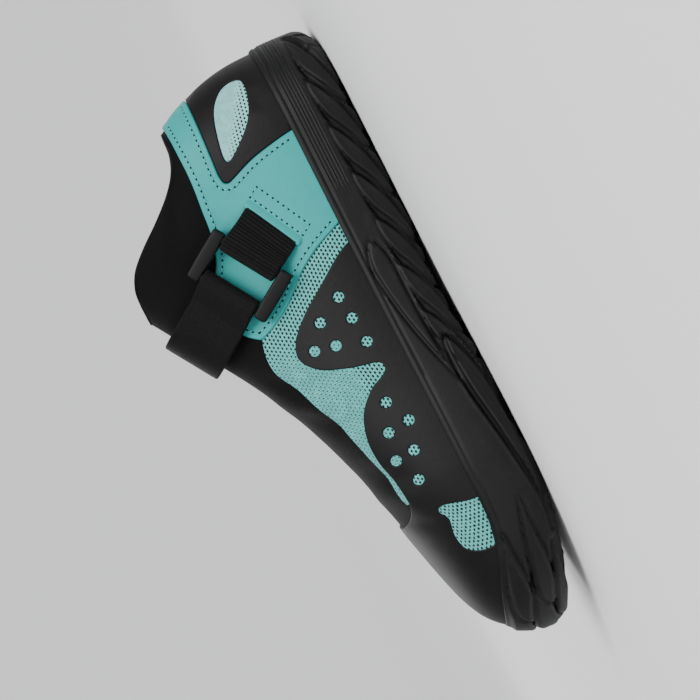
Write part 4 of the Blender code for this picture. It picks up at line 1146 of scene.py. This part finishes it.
def make_insole(foam):
    """A soft footbed with a rounded edge, cupped a little at the heel and the arch."""
    turns, count = ring_turns(INSOLE_COLUMNS), INSOLE_COLUMNS
    base, outward = foot_ring(turns, np.full_like(turns, -(UPPER_WALL + 2 * CLEARANCE)), 0.0)
    rings = []
    for inward, up in INSOLE_EDGE:
        ring = base - outward * inward * INSOLE_ROUNDING
        ring[:, 2] = footbed_at(ring[:, 0]) + CLEARANCE + INSOLE_THICKNESS * up
        rings.append(ring)
    _, _, share, bed = lanes_across(rings[-1], INSOLE_LANES)
    dish = -INSOLE_DISH * np.sin(math.pi * share)[:, None] * ease((bed[..., 0] - 0.01) / 0.02)
    bed[..., 2] = footbed_at(bed[..., 0]) + CLEARANCE + INSOLE_THICKNESS + dish
    points = np.concatenate([*rings, bed[:, 1 : count // 2].reshape(-1, 3)])
    faces = quads(len(rings), count)
    faces += lane_faces((len(rings) - 1) * count, count, len(rings) * count, INSOLE_LANES)
    faces += faces_across(0, count)
    piece("footbed", points, faces, foam, points / MILLIMETRE, ("insole",), smooth_angle=60)


# Strap, webbing and buckle, which lie in planes square to the instep line
RIDGE_WAY = np.array([math.cos(STRAP_TILT), 0.0, -math.sin(STRAP_TILT)])
GIRTH_UP = np.array([math.sin(STRAP_TILT), 0.0, math.cos(STRAP_TILT)])


def inside_form(point):
    x, y, z = point[..., 0], point[..., 1], point[..., 2]
    centre, half = form_side(x, z)
    return (np.abs(y - centre) < half) & (z < top_of(x))


@lru_cache(maxsize=None)
def girth_curve(across):
    """Points round the instep in one plane, from the lateral side over the top to the medial."""
    angle = np.radians(np.linspace(-115, 115, 231))
    core = RIDGE_WAY * (STRAP_PLANE + across) + GIRTH_UP * GIRTH_CORE
    way = np.cos(angle)[:, None] * GIRTH_UP - np.sin(angle)[:, None] * np.array([0.0, 1.0, 0.0])
    low, high = np.zeros(len(angle)), np.full(len(angle), GIRTH_REACH)
    for _ in range(36):
        middle = (low + high) / 2
        within_form = inside_form(core + way * middle[:, None])
        low, high = np.where(within_form, middle, low), np.where(within_form, high, middle)
    return core + way * low[:, None]


def on_girth(across, along, height):
    """Point over the form: along is the way from the ridge, plus on the lateral side."""
    curve = girth_curve(across)
    length = lengths_along(curve)
    length = length[len(curve) // 2] - length
    outward = np.cross(np.gradient(curve, axis=0), RIDGE_WAY)
    at, way = (
        np.stack([np.interp(along, length[::-1], values[::-1, k]) for k in range(3)], axis=-1)
        for values in (curve, outward)
    )
    return at + np.asarray(height)[..., None] * unit(way)


def buckle_plane():
    """Origin and axes of the flat plane that the form's lateral side touches under the buckle."""
    reach = np.linspace(-0.5, 0.5, 5)
    along = BUCKLE_FROM_RIDGE + reach * BUCKLE_LENGTH
    under = [on_girth(share * BUCKLE_WIDTH, along, 0 * reach) for share in reach]
    centre = under[2][2]
    up = under[2][0] - under[2][4]
    up /= np.linalg.norm(up)
    sideways = under[4][2] - under[0][2]
    sideways -= up * sideways.dot(up)
    sideways /= np.linalg.norm(sideways)
    outward = np.cross(sideways, up)
    outward *= math.copysign(1.0, outward[1])
    lift = max((point - centre).dot(outward) for row in under for point in row)
    return centre + outward * lift, sideways, up, outward


BUCKLE_PLANE = buckle_plane()
WRAP_TOP = CLEARANCE + WRAP_THICKNESS
BAR_BOTTOM = WRAP_TOP + BAND_CLEARANCE + STRAP_THICKNESS + 2 * CLEARANCE


def band_point(across, along, height):
    """Point of a band: over the form, and over the buckle's flat plane near the buckle."""
    origin, sideways, up, outward = BUCKLE_PLANE
    along, height = np.asarray(along)[..., None], np.asarray(height)
    flat = origin + sideways * across + up * (BUCKLE_FROM_RIDGE - along) + outward * height[..., None]
    beyond = np.abs(along - BUCKLE_FROM_RIDGE) - BUCKLE_LENGTH / 2
    return flat + (on_girth(across, along[..., 0], height) - flat) * ease(beyond / BUCKLE_LENGTH * 2)


def turn_round_bar(bar, thickness, way):
    """Turn of a strap's middle round a bar of the buckle, from below it to behind its top."""
    radius = (BUCKLE_THICKNESS + thickness) / 2 + CLEARANCE
    middle = BAR_BOTTOM + BUCKLE_THICKNESS / 2
    edge = bar + way * (BUCKLE_CROSS_BAR / 2 - BUCKLE_ROUNDING)
    angle = np.radians(np.linspace(-90, 90, 17))
    turn = [(edge + way * radius * math.cos(a), middle + radius * math.sin(a)) for a in angle]
    return turn + [(bar - way * BUCKLE_CROSS_BAR / 2, middle + radius)]


def woven_band(name, path, thickness, finish, node, ribs, spacing):
    """Tape of a thickness along a path of (along, height), with a round edge and woven ribs."""
    path = even_path(path, spacing)
    length = lengths_along(path) / MILLIMETRE
    along = unit(np.gradient(path, axis=0))
    left = np.stack([-along[:, 1], along[:, 0]], axis=1)
    shares = np.concatenate([np.linspace(-1, -0.9, 4), np.linspace(-0.86, 0.86, 22), np.linspace(0.9, 1, 4)])
    loop = [(share, 1) for share in shares] + [(share, -1) for share in shares[::-1]]
    grid, places = [], []
    for share, side in loop:
        across, edge = share * STRAP_WIDTH / 2, blunted(share, 0.9)
        bump = ribs * np.cos(2 * math.pi * length / RIB_PITCH_MM)
        bump = bump - SELVEDGE_DEPTH * hump((abs(across) - STRAP_WIDTH / 2 + SELVEDGE_INSET) / MILLIMETRE, 0.5)
        half = thickness / 2 * max(edge, 0.02)
        profile = path + left * side * (half + bump * edge)[:, None]
        grid.append(band_point(across, profile[:, 0], profile[:, 1]))
        others = (np.full_like(length, value) for value in (across / MILLIMETRE, side))
        places.append(np.stack([length, *others], axis=1))
    rows, count = len(loop), len(path)
    faces = []
    for row, other in pairs_round(rows):
        a, b = row * count, other * count
        faces += [(a + i, a + i + 1, b + i + 1, b + i) for i in range(count - 1)]
    for end in (0, count - 1):
        for row in range(rows // 2 - 1):
            corners = (row, row + 1, rows - 2 - row, rows - 1 - row)
            faces.append(tuple(corner * count + end for corner in corners))
    points, places = np.concatenate(grid), np.concatenate(places)
    piece(name, points, faces, finish, places, (node,), smooth_angle=60)


def strap_path():
    under = WRAP_TOP + BAND_CLEARANCE + STRAP_THICKNESS / 2
    over = under + STRAP_THICKNESS + CLEARANCE
    bar = BUCKLE_FROM_RIDGE - (BUCKLE_LENGTH - BUCKLE_CROSS_BAR) / 2
    path = [(a, under) for a in np.linspace(STRAP_ROOT_FROM_RIDGE, bar - BUCKLE_CROSS_BAR, 19)]
    path += turn_round_bar(bar, STRAP_THICKNESS, 1)
    return path + [(a, over) for a in np.linspace(bar - 3 * BUCKLE_CROSS_BAR, STRAP_END_FROM_RIDGE, 11)]


def webbing_path():
    """Out of the slot, round the bar and back in; near the slot it dips under the wing's edge."""

    def leg(level, start, finish):
        ways = np.linspace(start, finish, 17)
        return [(a, level - SLOT_DIP * ease((a - SLOT_FROM_RIDGE) / SLOT_DIP_REACH + 1)) for a in ways]

    under = WRAP_TOP + BAND_CLEARANCE + WEBBING_THICKNESS / 2
    bar = BUCKLE_FROM_RIDGE + (BUCKLE_LENGTH - BUCKLE_CROSS_BAR) / 2
    path = leg(under, SLOT_FROM_RIDGE, bar + BUCKLE_CROSS_BAR) + turn_round_bar(bar, WEBBING_THICKNESS, -1)
    return path + leg(under + WEBBING_THICKNESS + CLEARANCE, bar + 2.5 * BUCKLE_CROSS_BAR, SLOT_FROM_RIDGE)


def make_slot_lip(mint):
    """The wing's folded edge over the webbing, where it goes in."""
    points, places = [], []
    shares = np.linspace(-1, 1, 41)
    for share in shares:
        end = blunted(share, 0.92)
        for along, height in SLOT_LIP:
            height = 0.9 + (height - 0.9) * (0.25 + 0.75 * end)
            at = SLOT_FROM_RIDGE + along * (0.7 + 0.3 * end) * MILLIMETRE
            points.append(on_girth(share * LIP_HALF_WIDTH, at, height * MILLIMETRE))
            places.append((share * LIP_HALF_WIDTH / MILLIMETRE, along, 2.0))
    faces = capped(len(shares), len(SLOT_LIP))
    piece("slot_lip", points, faces, mint, places, smooth_angle=60)


def bar_between(first, last, width, thickness, swell):
    """Rings of a moulded bar with a rounded section between two places of the buckle's plane."""
    origin, sideways, up, outward = BUCKLE_PLANE
    first, last = np.array(first), np.array(last)
    way = (last - first) / np.linalg.norm(last - first)
    side = np.array([-way[1], way[0]])
    centre_height = BAR_BOTTOM + BUCKLE_THICKNESS / 2
    shares = np.concatenate([np.linspace(0, 0.05, 7), np.linspace(0.10, 0.90, 19), np.linspace(0.95, 1, 7)])
    rings = []
    for share in shares:
        end = min(share, 1 - share) / 0.05
        corner = 0.62 + 0.38 * math.sqrt(1 - (1 - min(end, 1.0)) ** 2)
        size = corner * (1 + swell * math.sin(math.pi * share) ** 2)
        ring = []
        for angle in ring_turns(BAR_SIDES):
            c, s = math.cos(angle), math.sin(angle)
            c = math.copysign(abs(c) ** 0.42, c) * width / 2 * size
            s = math.copysign(abs(s) ** 0.42, s) * thickness / 2 * size
            spot = first + (last - first) * share + side * c
            ring.append(origin + sideways * spot[0] + up * spot[1] + outward * (centre_height + s))
        rings.append(ring)
    return rings


def make_buckle(plastic):
    """Two side bars with blunt ends and two thinner cross bars, moulded in one."""
    half_width = (BUCKLE_WIDTH - BUCKLE_SIDE_BAR + SIDE_BAR_GROWTH) / 2
    half_length = (BUCKLE_LENGTH - BUCKLE_CROSS_BAR) / 2
    reach = BUCKLE_LENGTH / 2 + SIDE_BAR_REACH
    side_bar = BUCKLE_SIDE_BAR + SIDE_BAR_GROWTH, BUCKLE_THICKNESS * 1.45, SIDE_BAR_SWELL
    cross_bar = BUCKLE_CROSS_BAR * 0.98, BUCKLE_THICKNESS, 0.0
    bars = [((side * half_width, -reach), (side * half_width, reach), *side_bar) for side in (-1, 1)]
    for level in (-half_length, half_length):
        bars.append(((-half_width, level), (half_width, level), *cross_bar))
    points, faces = [], []
    for bar in bars:
        rings = bar_between(*bar)
        faces += capped(len(rings), BAR_SIDES, len(points))
        points += [point for ring in rings for point in ring]
    places = np.array(points) / MILLIMETRE
    piece("ring_buckle", points, faces, plastic, places, ("buckle",))


# Materials
class Value:
    """A socket in an expression: its operators add Math nodes."""

    def __init__(self, shader, socket):
        self.shader, self.socket = shader, socket

    def _with(self, operation, other, swapped=False):
        first, second = (other, self) if swapped else (self, other)
        return self.shader.node("ShaderNodeMath", {"operation": operation}, {0: first, 1: second})

    def __add__(self, other):
        return self._with("ADD", other)

    def __radd__(self, other):
        return self._with("ADD", other, True)

    def __sub__(self, other):
        return self._with("SUBTRACT", other)

    def __rsub__(self, other):
        return self._with("SUBTRACT", other, True)

    def __mul__(self, other):
        return self._with("MULTIPLY", other)

    def __rmul__(self, other):
        return self._with("MULTIPLY", other, True)

    def _alone(self, operation):
        return self.shader.node("ShaderNodeMath", {"operation": operation}, {0: self})

    def floor(self):
        return self._alone("FLOOR")

    def fract(self):
        return self._alone("FRACT")

    def sine(self):
        return self._alone("SINE")

    def waves(self, pitch):
        """A sine wave along the value, with a pitch in its units."""
        return (self * (2 * math.pi / pitch)).sine()

    def size(self):
        return self._alone("ABSOLUTE")

    def root(self):
        return self._alone("SQRT")

    def step(self, low, high):
        """Eases from 0 to 1 as the value goes from low to high."""
        settings = {"interpolation_type": "SMOOTHSTEP"}
        return self.shader.node("ShaderNodeMapRange", settings, {"Value": self, 1: low, 2: high})


class Shader:
    """A material and the nodes that are added to it."""

    def __init__(self, name):
        self.material = bpy.data.materials.new(name)
        self.material.use_nodes = True
        self.tree = self.material.node_tree
        self.finish = self.tree.nodes["Principled BSDF"]

    def node(self, kind, settings=None, sockets=None, output=0):
        """Adds a node of a type with its settings and the values or links of its sockets."""
        made = self.tree.nodes.new(kind)
        for name, value in (settings or {}).items():
            setattr(made, name, value)
        for name, value in (sockets or {}).items():
            self.feed(made.inputs[name], value)
        return Value(self, made.outputs[output])

    def feed(self, socket, value):
        if isinstance(value, Value):
            self.tree.links.new(value.socket, socket)
        else:
            socket.default_value = (*value, 1.0) if socket.type == "RGBA" else value

    def place(self):
        """The pattern attribute's three values: two lengths in millimetres and a share."""
        vector = self.node("ShaderNodeAttribute", {"attribute_name": "place"}, output="Vector")
        return vector, *self.split(vector)

    def split(self, vector):
        apart = self.node("ShaderNodeSeparateXYZ", {}, {0: vector}).socket.node
        return tuple(Value(self, part) for part in apart.outputs)

    def object_place(self):
        return self.node("ShaderNodeTexCoord", output="Object")

    def noise(self, vector, scale, detail=3.0, roughness=0.55, distortion=0.0):
        sockets = {"Scale": scale, "Detail": detail, "Roughness": roughness, "Distortion": distortion}
        return self.node("ShaderNodeTexNoise", {}, {"Vector": vector, **sockets})

    def cells(self, vector, scale, feature="F1"):
        return self.node("ShaderNodeTexVoronoi", {"feature": feature}, {"Vector": vector, "Scale": scale})

    def mixed(self, share, first, second):
        """A colour between two: each is a colour, or a link."""
        made = self.tree.nodes.new("ShaderNodeMix")
        made.data_type = "RGBA"
        sockets = [made.inputs[0], *(s for s in made.inputs if s.type == "RGBA")]
        for socket, value in zip(sockets, (share, first, second)):
            self.feed(socket, value)
        return Value(self, next(s for s in made.outputs if s.type == "RGBA"))

    def bump(self, height, distance, strength=1.0, after=None):
        sockets = {"Height": height, "Distance": distance, "Strength": strength}
        if after is not None:
            sockets["Normal"] = after
        return self.node("ShaderNodeBump", {}, sockets)

    def finished(self, **sockets):
        names = {
            "colour": "Base Color",
            "roughness": "Roughness",
            "normal": "Normal",
            "sheen": "Sheen Weight",
            "sheen_roughness": "Sheen Roughness",
            "specular": "Specular IOR Level",
        }
        for key, value in sockets.items():
            self.feed(self.finish.inputs[names[key]], value)
        return self.material


def moulded_rubber():
    """Black sole rubber: satin, with painted shade darkening its grooves, and pale scuffs here and there."""
    s = Shader("moulded_rubber")
    *_, groove_shade = s.place()
    spot = s.object_place()
    broad = s.noise(spot, 38.0, 4.0)
    fine = s.noise(spot, 900.0, 3.0, 0.6)
    scuff = s.noise(spot, 160.0, 5.0, 0.7, 0.6).step(0.56, 0.72)
    colour = s.mixed(broad, (0.0021, 0.0020, 0.0022), (0.0048, 0.0046, 0.0049))
    # Painted shade: the rubber is darker in its grooves, the more the deeper they are.
    colour = s.mixed(groove_shade * 0.6, colour, (0.0020, 0.0020, 0.0020))
    colour = s.mixed(scuff * 0.16, colour, (0.035, 0.034, 0.033))
    rough = 0.47 + 0.14 * broad + 0.12 * scuff
    normal = s.bump(fine, 0.00012, 0.5)
    normal = s.bump(s.noise(spot, 120.0, 4.0), 0.0004, 0.25, normal)
    return s.finished(colour=colour, roughness=rough, normal=normal, specular=0.24)


def knit_neoprene():
    """Black neoprene with a fine jersey face, a little fuzz and a paler lining."""
    s = Shader("knit_neoprene")
    _, around, up, inside = s.place()
    spot = s.object_place()
    courses = (up * (2 * math.pi / 0.48) + around.waves(1.24) * 0.8).sine()
    knit = around.waves(0.62).size() * 0.6 + courses * 0.4
    fuzz = s.noise(spot, 1400.0, 2.0, 0.7)
    broad = s.noise(spot, 24.0, 3.0)
    colour = s.mixed(broad, (0.0018, 0.0017, 0.0019), (0.0034, 0.0033, 0.0036))
    colour = s.mixed(fuzz.step(0.45, 0.80) * 0.35, colour, (0.0085, 0.0082, 0.0088))
    colour = s.mixed(inside, colour, (0.008, 0.008, 0.009))
    normal = s.bump(knit, 0.00009, 0.55)
    normal = s.bump(fuzz, 0.00010, 0.5, normal)
    return s.finished(
        colour=colour, roughness=0.74 + 0.14 * fuzz, normal=normal,
        sheen=0.04, sheen_roughness=0.45, specular=0.12,
    )


def satin_film():
    """Black film over the heel and the toe: smooth, satin, faintly creased."""
    s = Shader("satin_film")
    spot = s.object_place()
    broad = s.noise(spot, 30.0, 4.0)
    creases = s.cells(spot, 230.0, "DISTANCE_TO_EDGE").step(0.0, 0.10)
    grain = s.noise(spot, 2200.0, 2.0, 0.6)
    colour = s.mixed(broad, (0.0026, 0.0022, 0.0027), (0.0054, 0.0047, 0.0056))
    rough = 0.46 + 0.14 * broad + 0.05 * grain
    normal = s.bump(creases, 0.00005, 0.35)
    normal = s.bump(grain, 0.00003, 0.5, normal)
    normal = s.bump(s.noise(spot, 85.0, 3.0), 0.0006, 0.25, normal)
    return s.finished(colour=colour, roughness=rough, normal=normal, specular=0.20)


def smooth_synthetic():
    """Mint synthetic of the wings: matte, fine grained, a little darker towards its edges."""
    s = Shader("smooth_synthetic")
    *_, inset = s.place()
    spot = s.object_place()
    broad = s.noise(spot, 26.0, 4.0)
    mottle = s.noise(spot, 300.0, 4.0, 0.6)
    grain = s.cells(spot, 2600.0)
    edge = 1 - inset.step(0.0, 0.9)
    colour = s.mixed(broad, (0.013, 0.285, 0.272), (0.019, 0.335, 0.322))
    colour = s.mixed(mottle.step(0.45, 0.75) * 0.30, colour, (0.015, 0.255, 0.243))
    colour = s.mixed(edge * 0.55, colour, (0.009, 0.150, 0.142))
    rough = 0.48 + 0.10 * mottle
    normal = s.bump(grain, 0.00005, 0.35)
    normal = s.bump(mottle, 0.00012, 0.3, normal)
    return s.finished(colour=colour, roughness=rough, normal=normal, specular=0.30)


# Where a mesh's pores close: how much forward and upward count, from which length to which and above
# which height, all in millimetres, and how far the pores close
Fade = namedtuple("Fade", "forward upward low high from_height closing")


def open_mesh(name, pitch, tall, pore, yarn, hole, row_tilt=0.0, fade=None, uneven=0.10):
    """Mint spacer mesh: rows of dark pores between raised yarns, which close along a way of the shoe."""
    s = Shader(name)
    vector, around, up, _ = s.place()
    u = (around + up * row_tilt) * (1 / pitch)
    v = (up - around * row_tilt) * (1 / tall)
    shift = (v.floor() * 0.5).fract()
    across = (u + shift).fract() - 0.5
    along = v.fract() - 0.5
    wobble = s.noise(vector, 0.9, 2.0) - 0.5
    round_pore = (across * across + (along * along) * 1.35).root() + wobble * uneven
    yarns = around.waves(0.34).size() * 0.5 + up.waves(0.30).size() * 0.5
    thread = s.mixed(yarns, tuple(c * 0.72 for c in yarn), yarn)
    if fade:
        x, _, z = s.split(s.object_place())
        closed = (x * fade.forward + z * fade.upward).step(fade.low * MILLIMETRE, fade.high * MILLIMETRE)
        closed = closed * z.step(fade.from_height * MILLIMETRE, (fade.from_height + 4.0) * MILLIMETRE)
        round_pore = round_pore + closed * fade.closing
        ribs = around.waves(0.95).step(-0.6, 0.6)
        thread = s.mixed(closed * (1 - ribs) * 0.55, thread, tuple(c * 0.30 for c in yarn))
    open_share = round_pore.step(pore * 0.66, pore * 1.10)
    worn = s.noise(vector, 0.25, 4.0)
    thread = s.mixed(worn.step(0.40, 0.75) * 0.35, thread, tuple(min(c * 1.35, 1.0) for c in yarn))
    colour = s.mixed(open_share, hole, thread)
    normal = s.bump(open_share, 0.00050, 0.9)
    normal = s.bump(yarns, 0.00012, 0.7, normal)
    return s.finished(colour=colour, roughness=0.85, normal=normal, sheen=0.12, specular=0.25)


def woven_tape(name, rib_pitch, rib_highlight):
    """Black woven tape: ribs across with their crests painted paler as a painted highlight, twill threads along
    and a few loose fibres.
    """
    s = Shader(name)
    _, along, across, _ = s.place()
    spot = s.object_place()
    ribs = (along * (2 * math.pi / rib_pitch) + math.pi / 2).sine()
    threads = (across * (2 * math.pi / 0.55) + along.waves(1.6) * 1.2).sine()
    twill = (along + across).waves(0.9)
    fibres = s.noise(spot, 1900.0, 3.0, 0.75)
    colour = s.mixed(fibres.step(0.40, 0.80), (0.0020, 0.0020, 0.0021), (0.0080, 0.0078, 0.0082))
    # Painted highlight: the crests of the ribs across are paler.
    colour = s.mixed(ribs.step(-0.2, 0.9) * rib_highlight, colour, (0.0085, 0.0082, 0.0086))
    normal = s.bump(threads * 0.4 + twill * 0.6, 0.00008, 0.6)
    normal = s.bump(fibres, 0.00010, 0.5, normal)
    return s.finished(
        colour=colour, roughness=0.74, normal=normal, sheen=0.03, sheen_roughness=0.4, specular=0.13
    )


def moulded_plastic():
    """Black plastic of the buckle: satin with a fine moulded grain."""
    s = Shader("moulded_plastic")
    spot = s.object_place()
    grain = s.noise(spot, 2400.0, 2.0)
    broad = s.noise(spot, 60.0, 3.0)
    colour = s.mixed(broad, (0.0018, 0.0018, 0.0019), (0.0038, 0.0038, 0.0040))
    return s.finished(
        colour=colour, roughness=0.46 + 0.12 * broad, normal=s.bump(grain, 0.00004, 0.5), specular=0.18
    )


def foam_lining():
    """Grey-black foam footbed under a fine knit cover."""
    s = Shader("foam_lining")
    vector, x, y, _ = s.place()
    knit = x.waves(1.1) * y.waves(1.1)
    worn = s.noise(vector, 0.06, 4.0)
    colour = s.mixed(worn, (0.010, 0.010, 0.011), (0.022, 0.022, 0.024))
    normal = s.bump(knit, 0.00015, 0.6)
    return s.finished(colour=colour, roughness=0.88, normal=normal, sheen=0.06, specular=0.25)


def sewing_thread():
    """Mint polyester thread, a little paler than the wings, with a tight twist."""
    s = Shader("sewing_thread")
    twist = s.noise(s.object_place(), 2600.0, 2.0)
    colour = s.mixed(twist, (0.040, 0.330, 0.315), (0.090, 0.480, 0.460))
    return s.finished(colour=colour, roughness=0.6, normal=s.bump(twist, 0.00008, 0.6), sheen=0.1)


def black_thread():
    """Black polyester thread of the strap's sewn end."""
    s = Shader("black_thread")
    twist = s.noise(s.object_place(), 2600.0, 2.0)
    colour = s.mixed(twist, (0.006, 0.006, 0.0065), (0.018, 0.018, 0.019))
    return s.finished(colour=colour, roughness=0.55, normal=s.bump(twist, 0.00008, 0.6))


def needle_shadow():
    """Dark pricks beside the stitches."""
    s = Shader("needle_shadow")
    dirt = s.noise(s.object_place(), 1500.0, 2.0)
    colour = s.mixed(dirt, (0.0018, 0.0080, 0.0075), (0.0040, 0.0190, 0.0175))
    return s.finished(colour=colour, roughness=0.9, specular=0.1)


# Overlays and sewing of the upper
def grown_on_form(outline, gap):
    way = turned_round(flat_of(outline))
    return inner_rings(outline, [-gap], way)[0]


def film_piece(name, outline, holes, film, node):
    overlay_piece(name, outline, holes, CLEARANCE, FILM_THICKNESS, film, node, 0.5)


def mesh_piece(name, outline, mesh, node, by_x=False):
    overlay_piece(name, outline, [], MESH_LIFT, MESH_THICKNESS, mesh, node, 0.4, by_x)


def make_overlays(mint, film, mesh_mint, dot_mint, pale_mesh, thread):
    outline = wrap_outline()
    overlay_piece(
        "mint_wings", outline, [], CLEARANCE, WRAP_THICKNESS, mint, "quarter_wrap", 0.55
    )
    counter_holes = [window_on_form(COUNTER_WINDOW, side) for side in (1, -1)]
    film_piece("heel_film", counter_outline(), counter_holes, film, "heel_counter")
    toe_holes = []
    for side, shift in ((1, (0.0, 0.0)), (-1, (2 * math.pi, 0.0))):
        toe_holes.append(window_on_form(TOE_WINDOW, side) + shift)
        toe_holes += [drain_on_form(drain, side) + shift for drain in DRAINS]
    film_piece("toe_cap_film", toe_film_outline(), toe_holes, film, "toe_film")
    for side, word in ((1, "lateral"), (-1, "medial")):
        mesh_piece(f"vamp_knit_{word}", vamp_mesh_outline(side), mesh_mint, f"vamp_mesh_{word}", True)
        for place, window, mesh, node in (
            ("heel", COUNTER_WINDOW, pale_mesh, "counter_mesh"), ("toe", TOE_WINDOW, dot_mint, "toe_mesh")
        ):
            grown = grown_on_form(window_on_form(window, side), WINDOW_OVERLAP)
            mesh_piece(f"{place}_window_knit_{word}", grown, mesh, f"{node}_{word}")
    runs = []
    edge = form_grid(outline[:, 0], outline[:, 1])
    for side in (1, -1):
        for path in wing_edges(side):
            line = moved_on_form(path, -STITCH_INSET * side)
            clear = distance_to(form_grid(line[:, 0], line[:, 1]), edge)
            line = line[(line[:, 1] > RIM_SHARE + 0.03) & (clear > 0.9 * STITCH_INSET)]
            runs.append(sewn_on_wrap(line))
    runs.append(sewn_on_strap_plane(BOX_STITCH, WRAP_TOP))
    stitches_piece("wing_stitches", runs, thread)
    needle_holes_piece("wing_needle_holes", runs, needle_shadow())


# Floor, light and camera
FLOOR_REACH = 30.0
WALL_AWAY = 2.0
WALL_BEND = 0.8
WALL_HALF_WIDTH = 4.0
WALL_HEIGHT = 4.0


def make_stage():
    """A floor that bends up into a wall behind the shoe."""
    foot = WALL_AWAY - WALL_BEND
    profile = [(-FLOOR_REACH, 0.0), (foot, 0.0)]
    for a in np.radians(np.linspace(6, 90, 15)):
        profile.append((foot + WALL_BEND * math.sin(a), WALL_BEND - WALL_BEND * math.cos(a)))
    profile.append((WALL_AWAY, WALL_HEIGHT))
    points = []
    for away, z in profile:
        half = WALL_HALF_WIDTH if z > 0 else FLOOR_REACH
        points += [(-half, -away, z), (half, -away, z)]
    faces = [(i, i + 1, i + 3, i + 2) for i in range(0, len(points) - 2, 2)]
    mesh = bpy.data.meshes.new("sweep")
    mesh.from_pydata(points, [], faces)
    mesh.materials.append(Shader("pale_floor").finished(colour=(0.80, 0.80, 0.80), roughness=0.75))
    mesh.shade_smooth()
    sweep = linked("sweep", mesh)


def light_along(name, light, way, place=(0.0, 0.0, 0.0)):
    obj = linked(name, light)
    obj.location = place
    obj.rotation_mode = "QUATERNION"
    obj.rotation_quaternion = Vector(way).to_track_quat("-Z", "Y")


def area_light(name, place, size, power):
    """A soft box aimed at the middle of the shoe."""
    light = bpy.data.lights.new(name, "AREA")
    light.shape = "RECTANGLE"
    light.size, light.size_y = size
    light.energy = power
    light_along(name, light, Vector((0.10, 0.0, 0.05)) - Vector(place), place)


def make_lights():
    area_light("key", (-0.60, 1.05, 0.95), (0.8, 0.7), 15.0)
    area_light("fill", (0.95, 0.95, 0.50), (0.7, 0.7), 5.0)
    area_light("rear", (0.35, -0.95, 0.75), (0.9, 0.6), 5.0)
    sky = bpy.data.lights.new("sky", "SUN")
    sky.energy = 2.0
    sky.angle = math.radians(50)
    light_along("sky", sky, (0.30, -0.62, -0.85))
    world = bpy.data.worlds.new("studio")
    world.use_nodes = True
    backdrop = world.node_tree.nodes["Background"].inputs
    backdrop["Color"].default_value = (0.92, 0.95, 1.0, 1.0)
    backdrop["Strength"].default_value = 0.30
    bpy.context.scene.world = world


CAMERA_AZIMUTH = 180.0
CAMERA_ELEVATION = 2.5
CAMERA_ROLL = 116.7
CAMERA_DISTANCE = 1.10
CAMERA_TARGET = Vector((0.0988, 0.0, 0.0441))
VIEW_ACROSS = 0.287


def make_camera():
    """Just above the floor at the shoe's lateral side, and rolled as the photograph is."""
    camera = bpy.data.cameras.new("camera")
    camera.sensor_width = 36.0
    camera.lens = camera.sensor_width * CAMERA_DISTANCE / VIEW_ACROSS
    camera.clip_start, camera.clip_end = 0.05, 20.0
    obj = linked("camera", camera)
    azimuth, elevation = math.radians(CAMERA_AZIMUTH), math.radians(CAMERA_ELEVATION)
    level = math.cos(elevation)
    back = Vector((math.sin(azimuth) * level, -math.cos(azimuth) * level, math.sin(elevation)))
    obj.rotation_mode = "QUATERNION"
    upright = (-back).to_track_quat("-Z", "Y").to_matrix().to_4x4()
    rolled = upright @ Matrix.Rotation(math.radians(CAMERA_ROLL) * -1, 4, "Z")
    obj.rotation_quaternion = rolled.to_quaternion()
    obj.location = CAMERA_TARGET + back * CAMERA_DISTANCE
    bpy.context.scene.camera = obj


def main():
    film, mint = satin_film(), smooth_synthetic()
    yarn, pale_yarn, dark_hole = (0.120, 0.500, 0.470), (0.300, 0.680, 0.670), (0.0030, 0.0110, 0.0108)
    vamp_fade, heel_fade = Fade(1.0, 0.0, 82.0, 98.0, 45.0, 0.16), Fade(-0.55, 0.84, 38.0, 44.0, 0.0, 0.34)
    mesh_mint = open_mesh("mint_mesh", 1.80, 1.50, 0.36, yarn, dark_hole, fade=vamp_fade)
    dot_mint = open_mesh("mint_dotted_mesh", 1.90, 1.70, 0.33, yarn, dark_hole, 0.35, uneven=0.62)
    pale_mesh = open_mesh("pale_mint_mesh", 1.75, 1.55, 0.33, pale_yarn, dark_hole, 0.20, heel_fade)
    make_upper(knit_neoprene())
    make_sole(moulded_rubber())
    make_insole(foam_lining())
    make_overlays(mint, film, mesh_mint, dot_mint, pale_mesh, sewing_thread())
    # The last value of each tape sets how far its rib crests are painted paler, a painted highlight.
    plain_tape, ribbed_tape = woven_tape("strap_tape", 1.1, 0.15), woven_tape("ribbed_tape", RIB_PITCH_MM, 0.6)
    woven_band("instep_strap", strap_path(), STRAP_THICKNESS, plain_tape, "strap", 0.0, BAND_SPACING)
    woven_band(
        "ribbed_webbing", webbing_path(), WEBBING_THICKNESS, ribbed_tape, "webbing_loop",
        RIB_HEIGHT, RIBBED_SPACING,
    )
    make_slot_lip(mint)
    make_buckle(moulded_plastic())
    strap_top = WRAP_TOP + BAND_CLEARANCE + STRAP_THICKNESS
    strap_sewing = [sewn_on_strap_plane(STRAP_STITCH, strap_top, STRAP_STITCH_PITCH)]
    stitches_piece("strap_stitches", strap_sewing, black_thread())
    make_stage()
    make_lights()
    make_camera()


main()
